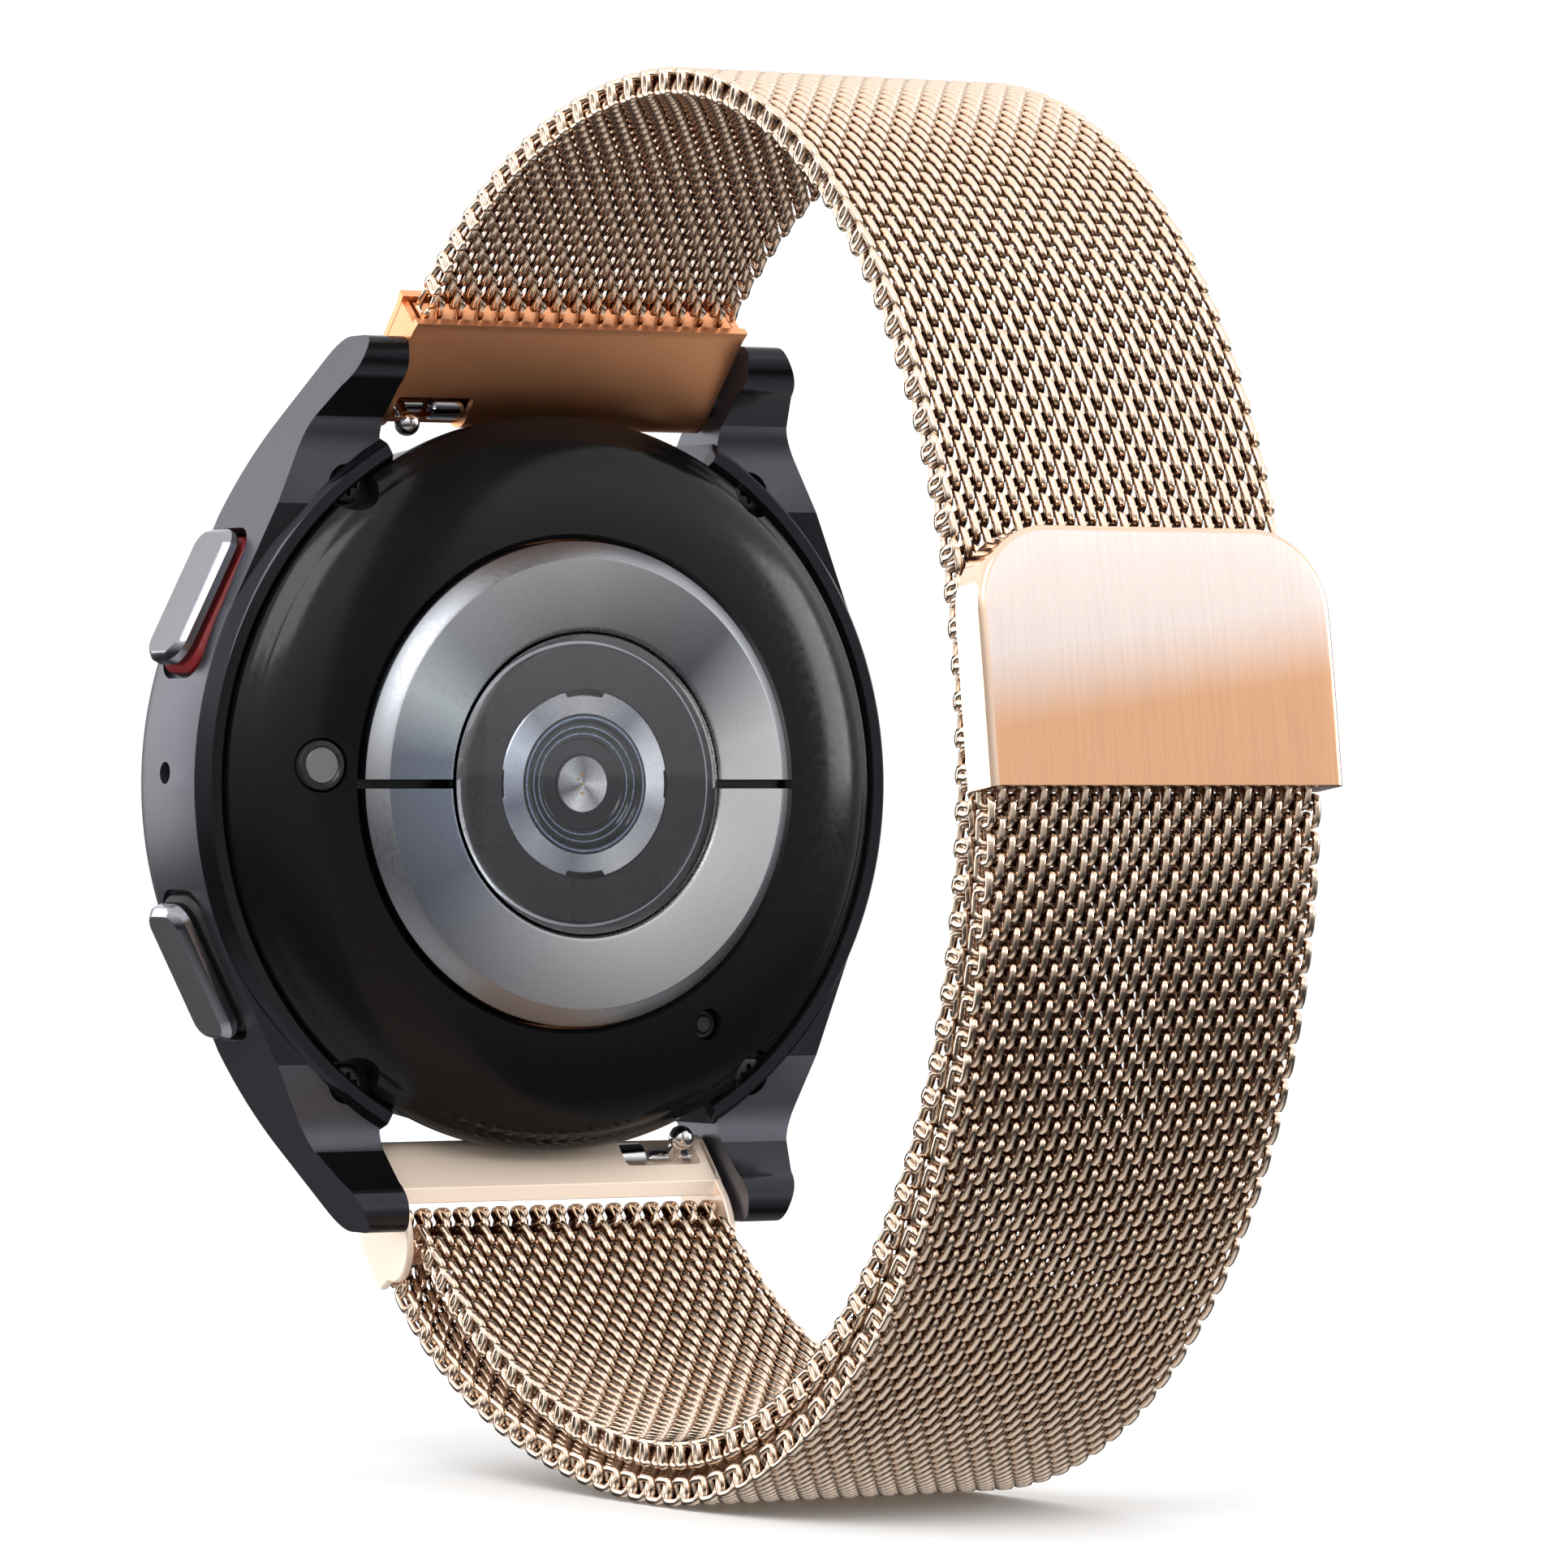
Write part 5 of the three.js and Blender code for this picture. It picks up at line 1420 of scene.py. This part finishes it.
@dataclass
class Clasp:
    """The magnetic clasp: a shallow shell, square at its foot and round at its head, with a brushed face."""

    width: float = 20.4
    height: float = 12.8
    thickness: float = 2.5
    corner: float = 4.2
    wall: float = 0.45
    tilt: float = 7.5
    drop: float = 0.4
    crown: float = 0.35
    crown_foot: float = 0.35

    def outline(self, inset: float, foot: float) -> np.ndarray:
        """The clasp's edge from behind, shrunk by an inset, from its lower left corner to its lower right."""
        half, top, corner = self.width / 2 - inset, self.height - inset, self.corner - inset
        turn = np.linspace(np.pi, np.pi / 2, 24)
        left = np.stack([corner - half + corner * np.cos(turn), top - corner + corner * np.sin(turn)], -1)
        right = left[::-1] * [-1, 1]
        low = np.linspace(foot, top - corner, 10)[:-1]
        rise = np.stack([np.full(9, -half), low], -1)
        fall = rise[::-1] * [-1, 1]
        across = np.linspace(corner - half, half - corner, 14)[1:-1]
        level = np.stack([across, np.full(len(across), top)], -1)
        foot_line = np.linspace(half, -half, 26)[1:-1]
        base = np.stack([foot_line, np.full(len(foot_line), foot)], -1)
        return np.concatenate([rise, left, level, right, fall, base])

    def lay(self, points: np.ndarray) -> np.ndarray:
        """Turns points from the clasp's own frame into the watch's, by its CAD shell's box."""
        low, high = (np.array(v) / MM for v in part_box("clasp_shell"))
        turn = math.radians(self.tilt)
        c, s = math.cos(turn), math.sin(turn)
        x, y, z = points[..., 0], points[..., 1], points[..., 2]
        foot_y = high[1] - self.thickness * c
        return np.stack([x, y * c - z * s + foot_y, y * s + z * c + low[2]], -1)

    def build(self) -> None:
        """Face and rim as loops that step in from the edge, and the inside as loops that step back out.

        The face stands proud by the crown times one minus the square of the distance up from its middle.
        """
        outer = self.thickness
        steps = [(0.0, 0.0), (0.0, 0.8), (0.0, 1.6), (0.0, outer - 0.42), (0.03, outer - 0.25),
                 (0.12, outer - 0.1),
                 (0.26, outer - 0.03), (0.45, outer)]
        loops = []
        for inset, y in steps:
            edge = self.outline(inset, inset * 0.1)
            loops.append(flat(edge, y))
        shrink = loops[-1]
        middle = np.array([0.0, outer, self.height * 0.45])
        for share in (0.85, 0.7, 0.55, 0.4, 0.25, 0.1, 0.01):
            loops.append(middle + (shrink - middle) * share)
        face = np.stack(loops)
        up = np.maximum(0.0,
                        face[..., 2] - self.height * self.crown_foot) / (self.height * (1 - self.crown_foot))
        rise = np.clip(face[..., 1] / outer, 0, 1) ** 4
        face[..., 1] -= self.crown * rise * up**2
        inner = []
        for inset, y in ((self.wall, 0.0), (self.wall, outer - self.wall - 0.4)):
            edge = self.outline(inset, 0.0)
            inner.append(flat(edge, y))
        bottom = inner[-1]
        middle = middle * [1, 0, 1] + [0, outer - self.wall - 0.4, 0]
        for share in (0.6, 0.2, 0.01):
            inner.append(middle + (bottom - middle) * share)
        shell = Shell()
        whole = np.concatenate([np.stack(inner)[::-1], face])
        shell.grid(self.lay(whole), around=True)
        per = whole.shape[1]
        bands = np.repeat(np.arange(len(whole) - 1), per)
        shell.finishes = [int(b < len(inner) + 6) for b in bands]
        numbers = np.arange(len(whole) * per).reshape(len(whole), per)
        shell.cap(numbers[0][::-1], 1)
        shell.cap(numbers[-1], 0)
        low, high = (v[2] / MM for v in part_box("clasp_shell"))
        # The clasp face's painted reflection runs between heights taken from its CAD shell's box.
        brushed = replace(ROSE_BRUSHED_PAINTED_REFLECTION, foot=low + 1.5, head=high - 2.5)
        clasp = shell.build("clasp_plate", [brushed, ROSE_POLISH])
        place(crisp(clasp, 50), "clasp", "clasp_shell", slot="rose_steel")


# ---------------------------------------------------------------- what stays as it is


def dress_inside() -> None:
    """Gives every CAD piece that still shows the finish of what it is made of."""
    chosen = {
        "display_panel": BLACK_PLASTIC, "main_board": BOARD_GREEN, "battery": CELL_FOIL,
        "inner_bracket": BLACK_PLASTIC,
        "haptic_motor": STEEL, "speaker_module": BLACK_PLASTIC, "microphone": STEEL, "charging_coil": COPPER,
        "rear_gasket": BLACK_SEAL, "sensor_board": BLACK_PLASTIC, "upper_button_switch": STEEL,
        "lower_button_switch": STEEL, "upper_bar_fixed_pin": CHROME, "lower_bar_fixed_pin": CHROME,
        "strap_weld_strip": ROSE_PLATE,
        "clasp_liner": ROSE_POLISH, "clasp_magnet": MAGNET, "clasp_crimp_bar": ROSE_POLISH,
    }
    for name, finish in chosen.items():
        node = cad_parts[name]
        node.data.materials.clear()
        node.data.materials.append(finish.material())
        LOG.info("%s: %s", name, finish.name)


# ---------------------------------------------------------------- stage


@dataclass
class Studio:
    """Floor, light and camera.

    The sky is its heights, from 0 straight down to 1 straight up, with the brightness at each.
    """

    floor_z: float = -37.1
    floor_reach: float = 6000.0
    aim: Triple = (0.0, 20.3, 0.0)
    yaw: float = 31.0
    distance: float = 450.0
    lens: float = 197.9
    sensor_width: float = 36.0
    backdrop: float = 1.1
    sky: tuple[Pair, ...] = (
        (0.0, 0.75), (0.12, 0.5), (0.25, 0.05), (0.36, 0.06), (0.43, 0.28), (0.5, 0.45), (0.56, 0.6),
        (0.62, 0.9), (0.70, 1.3), (0.8, 1.1), (1.0, 1.2),
    )

    def build(self) -> None:
        """Builds the floor, the sky of the studio, the lamps and the camera."""
        self.build_floor()
        self.build_sky()
        self.lamp("key", (420, 420, 520), 420, 2.6)
        self.lamp("right_strip", (-620, 260, 120), 260, 1.2)
        self.lamp("white_card", (300, -480, 60), 300, 0.55)
        self.build_camera()
        bpy.context.scene.view_settings.view_transform = "Standard"

    def build_floor(self) -> None:
        """A flat pale disc under the strap."""
        shell = Shell()
        turn = np.linspace(0, 2 * np.pi, 96, endpoint=False)
        rows = [np.stack([r * np.cos(turn), r * np.sin(turn), np.full(96, self.floor_z)], -1)
                for r in (0.01, 100, 400, 1500, self.floor_reach)]
        shell.grid(np.stack(rows), around=True)
        floor = shell.build("floor", [PALE_FLOOR], recalculate=False)
        if floor.data.polygons[0].normal.z < 0:
            floor.data.flip_normals()
        floor.visible_glossy = False

    def build_sky(self) -> None:
        """A studio that is bright above and dark below, behind a white backdrop."""
        world = bpy.data.worlds.new("studio")
        bpy.context.scene.world = world
        world.use_nodes = True
        tree = world.node_tree
        tree.nodes.clear()
        height = mapped(tree, coordinates(tree, "Generated")["Z"], (-1.0, 1.0))
        studio = tree.nodes.new("ShaderNodeBackground")
        stops = [(position, (level, level, level)) for position, level in self.sky]
        tree.links.new(height, colour_ramp(tree, stops, studio.inputs["Color"]))
        backdrop = tree.nodes.new("ShaderNodeBackground")
        backdrop.inputs["Color"].default_value = (1, 1, 1, 1)
        backdrop.inputs["Strength"].default_value = self.backdrop
        path = tree.nodes.new("ShaderNodeLightPath")
        mixed = tree.nodes.new("ShaderNodeMixShader")
        out = tree.nodes.new("ShaderNodeOutputWorld")
        plain = maths(tree, "MAXIMUM", path.outputs["Is Camera Ray"], path.outputs["Is Diffuse Ray"])
        tree.links.new(plain, mixed.inputs["Fac"])
        tree.links.new(studio.outputs["Background"], mixed.inputs[1])
        tree.links.new(backdrop.outputs["Background"], mixed.inputs[2])
        tree.links.new(mixed.outputs["Shader"], out.inputs["Surface"])

    def lamp(self, name: str, at: Triple, size: float, power: float) -> None:
        """A square soft lamp that faces the object.

        Args:
            name: The lamp's name.
            at: Where it stands, in millimetres.
            size: The length of its side, in millimetres.
            power: Its power in watts.
        """
        light = bpy.data.lights.new(name, "AREA")
        light.size = size * MM
        light.energy = power
        holder = bpy.data.objects.new(name, light)
        bpy.context.scene.collection.objects.link(holder)
        holder.visible_camera = False
        holder.location = [v * MM for v in at]
        way = np.array(self.aim) - np.array(at)
        holder.rotation_mode = "QUATERNION"
        holder.rotation_quaternion = Vector(way).to_track_quat("-Z", "Y")

    def build_camera(self) -> None:
        """The camera stands level with the watch, turned to the wrist side of its buttons."""
        camera = bpy.data.objects.new("camera", bpy.data.cameras.new("camera"))
        bpy.context.scene.collection.objects.link(camera)
        yaw = math.radians(self.yaw)
        back = Vector((math.sin(yaw), math.cos(yaw), 0.0))
        camera.location = (Vector(self.aim) + back * self.distance) * MM
        camera.rotation_mode = "QUATERNION"
        camera.rotation_quaternion = (-back).to_track_quat("-Z", "Y")
        camera.data.sensor_width = self.sensor_width
        camera.data.lens = self.lens
        camera.data.clip_start, camera.data.clip_end = 0.01, 20.0
        bpy.context.scene.camera = camera


def main() -> None:
    """Builds the watch piece by piece."""
    logging.basicConfig(level=logging.INFO, format="%(name)s %(message)s", force=True)
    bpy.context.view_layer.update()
    Head().build()
    Strap().build()
    UpperEnd("upper", 1).build()
    LowerEnd("lower", -1).build()
    Clasp().build()
    dress_inside()
    Studio().build()


if __name__ == "__main__":
    main()
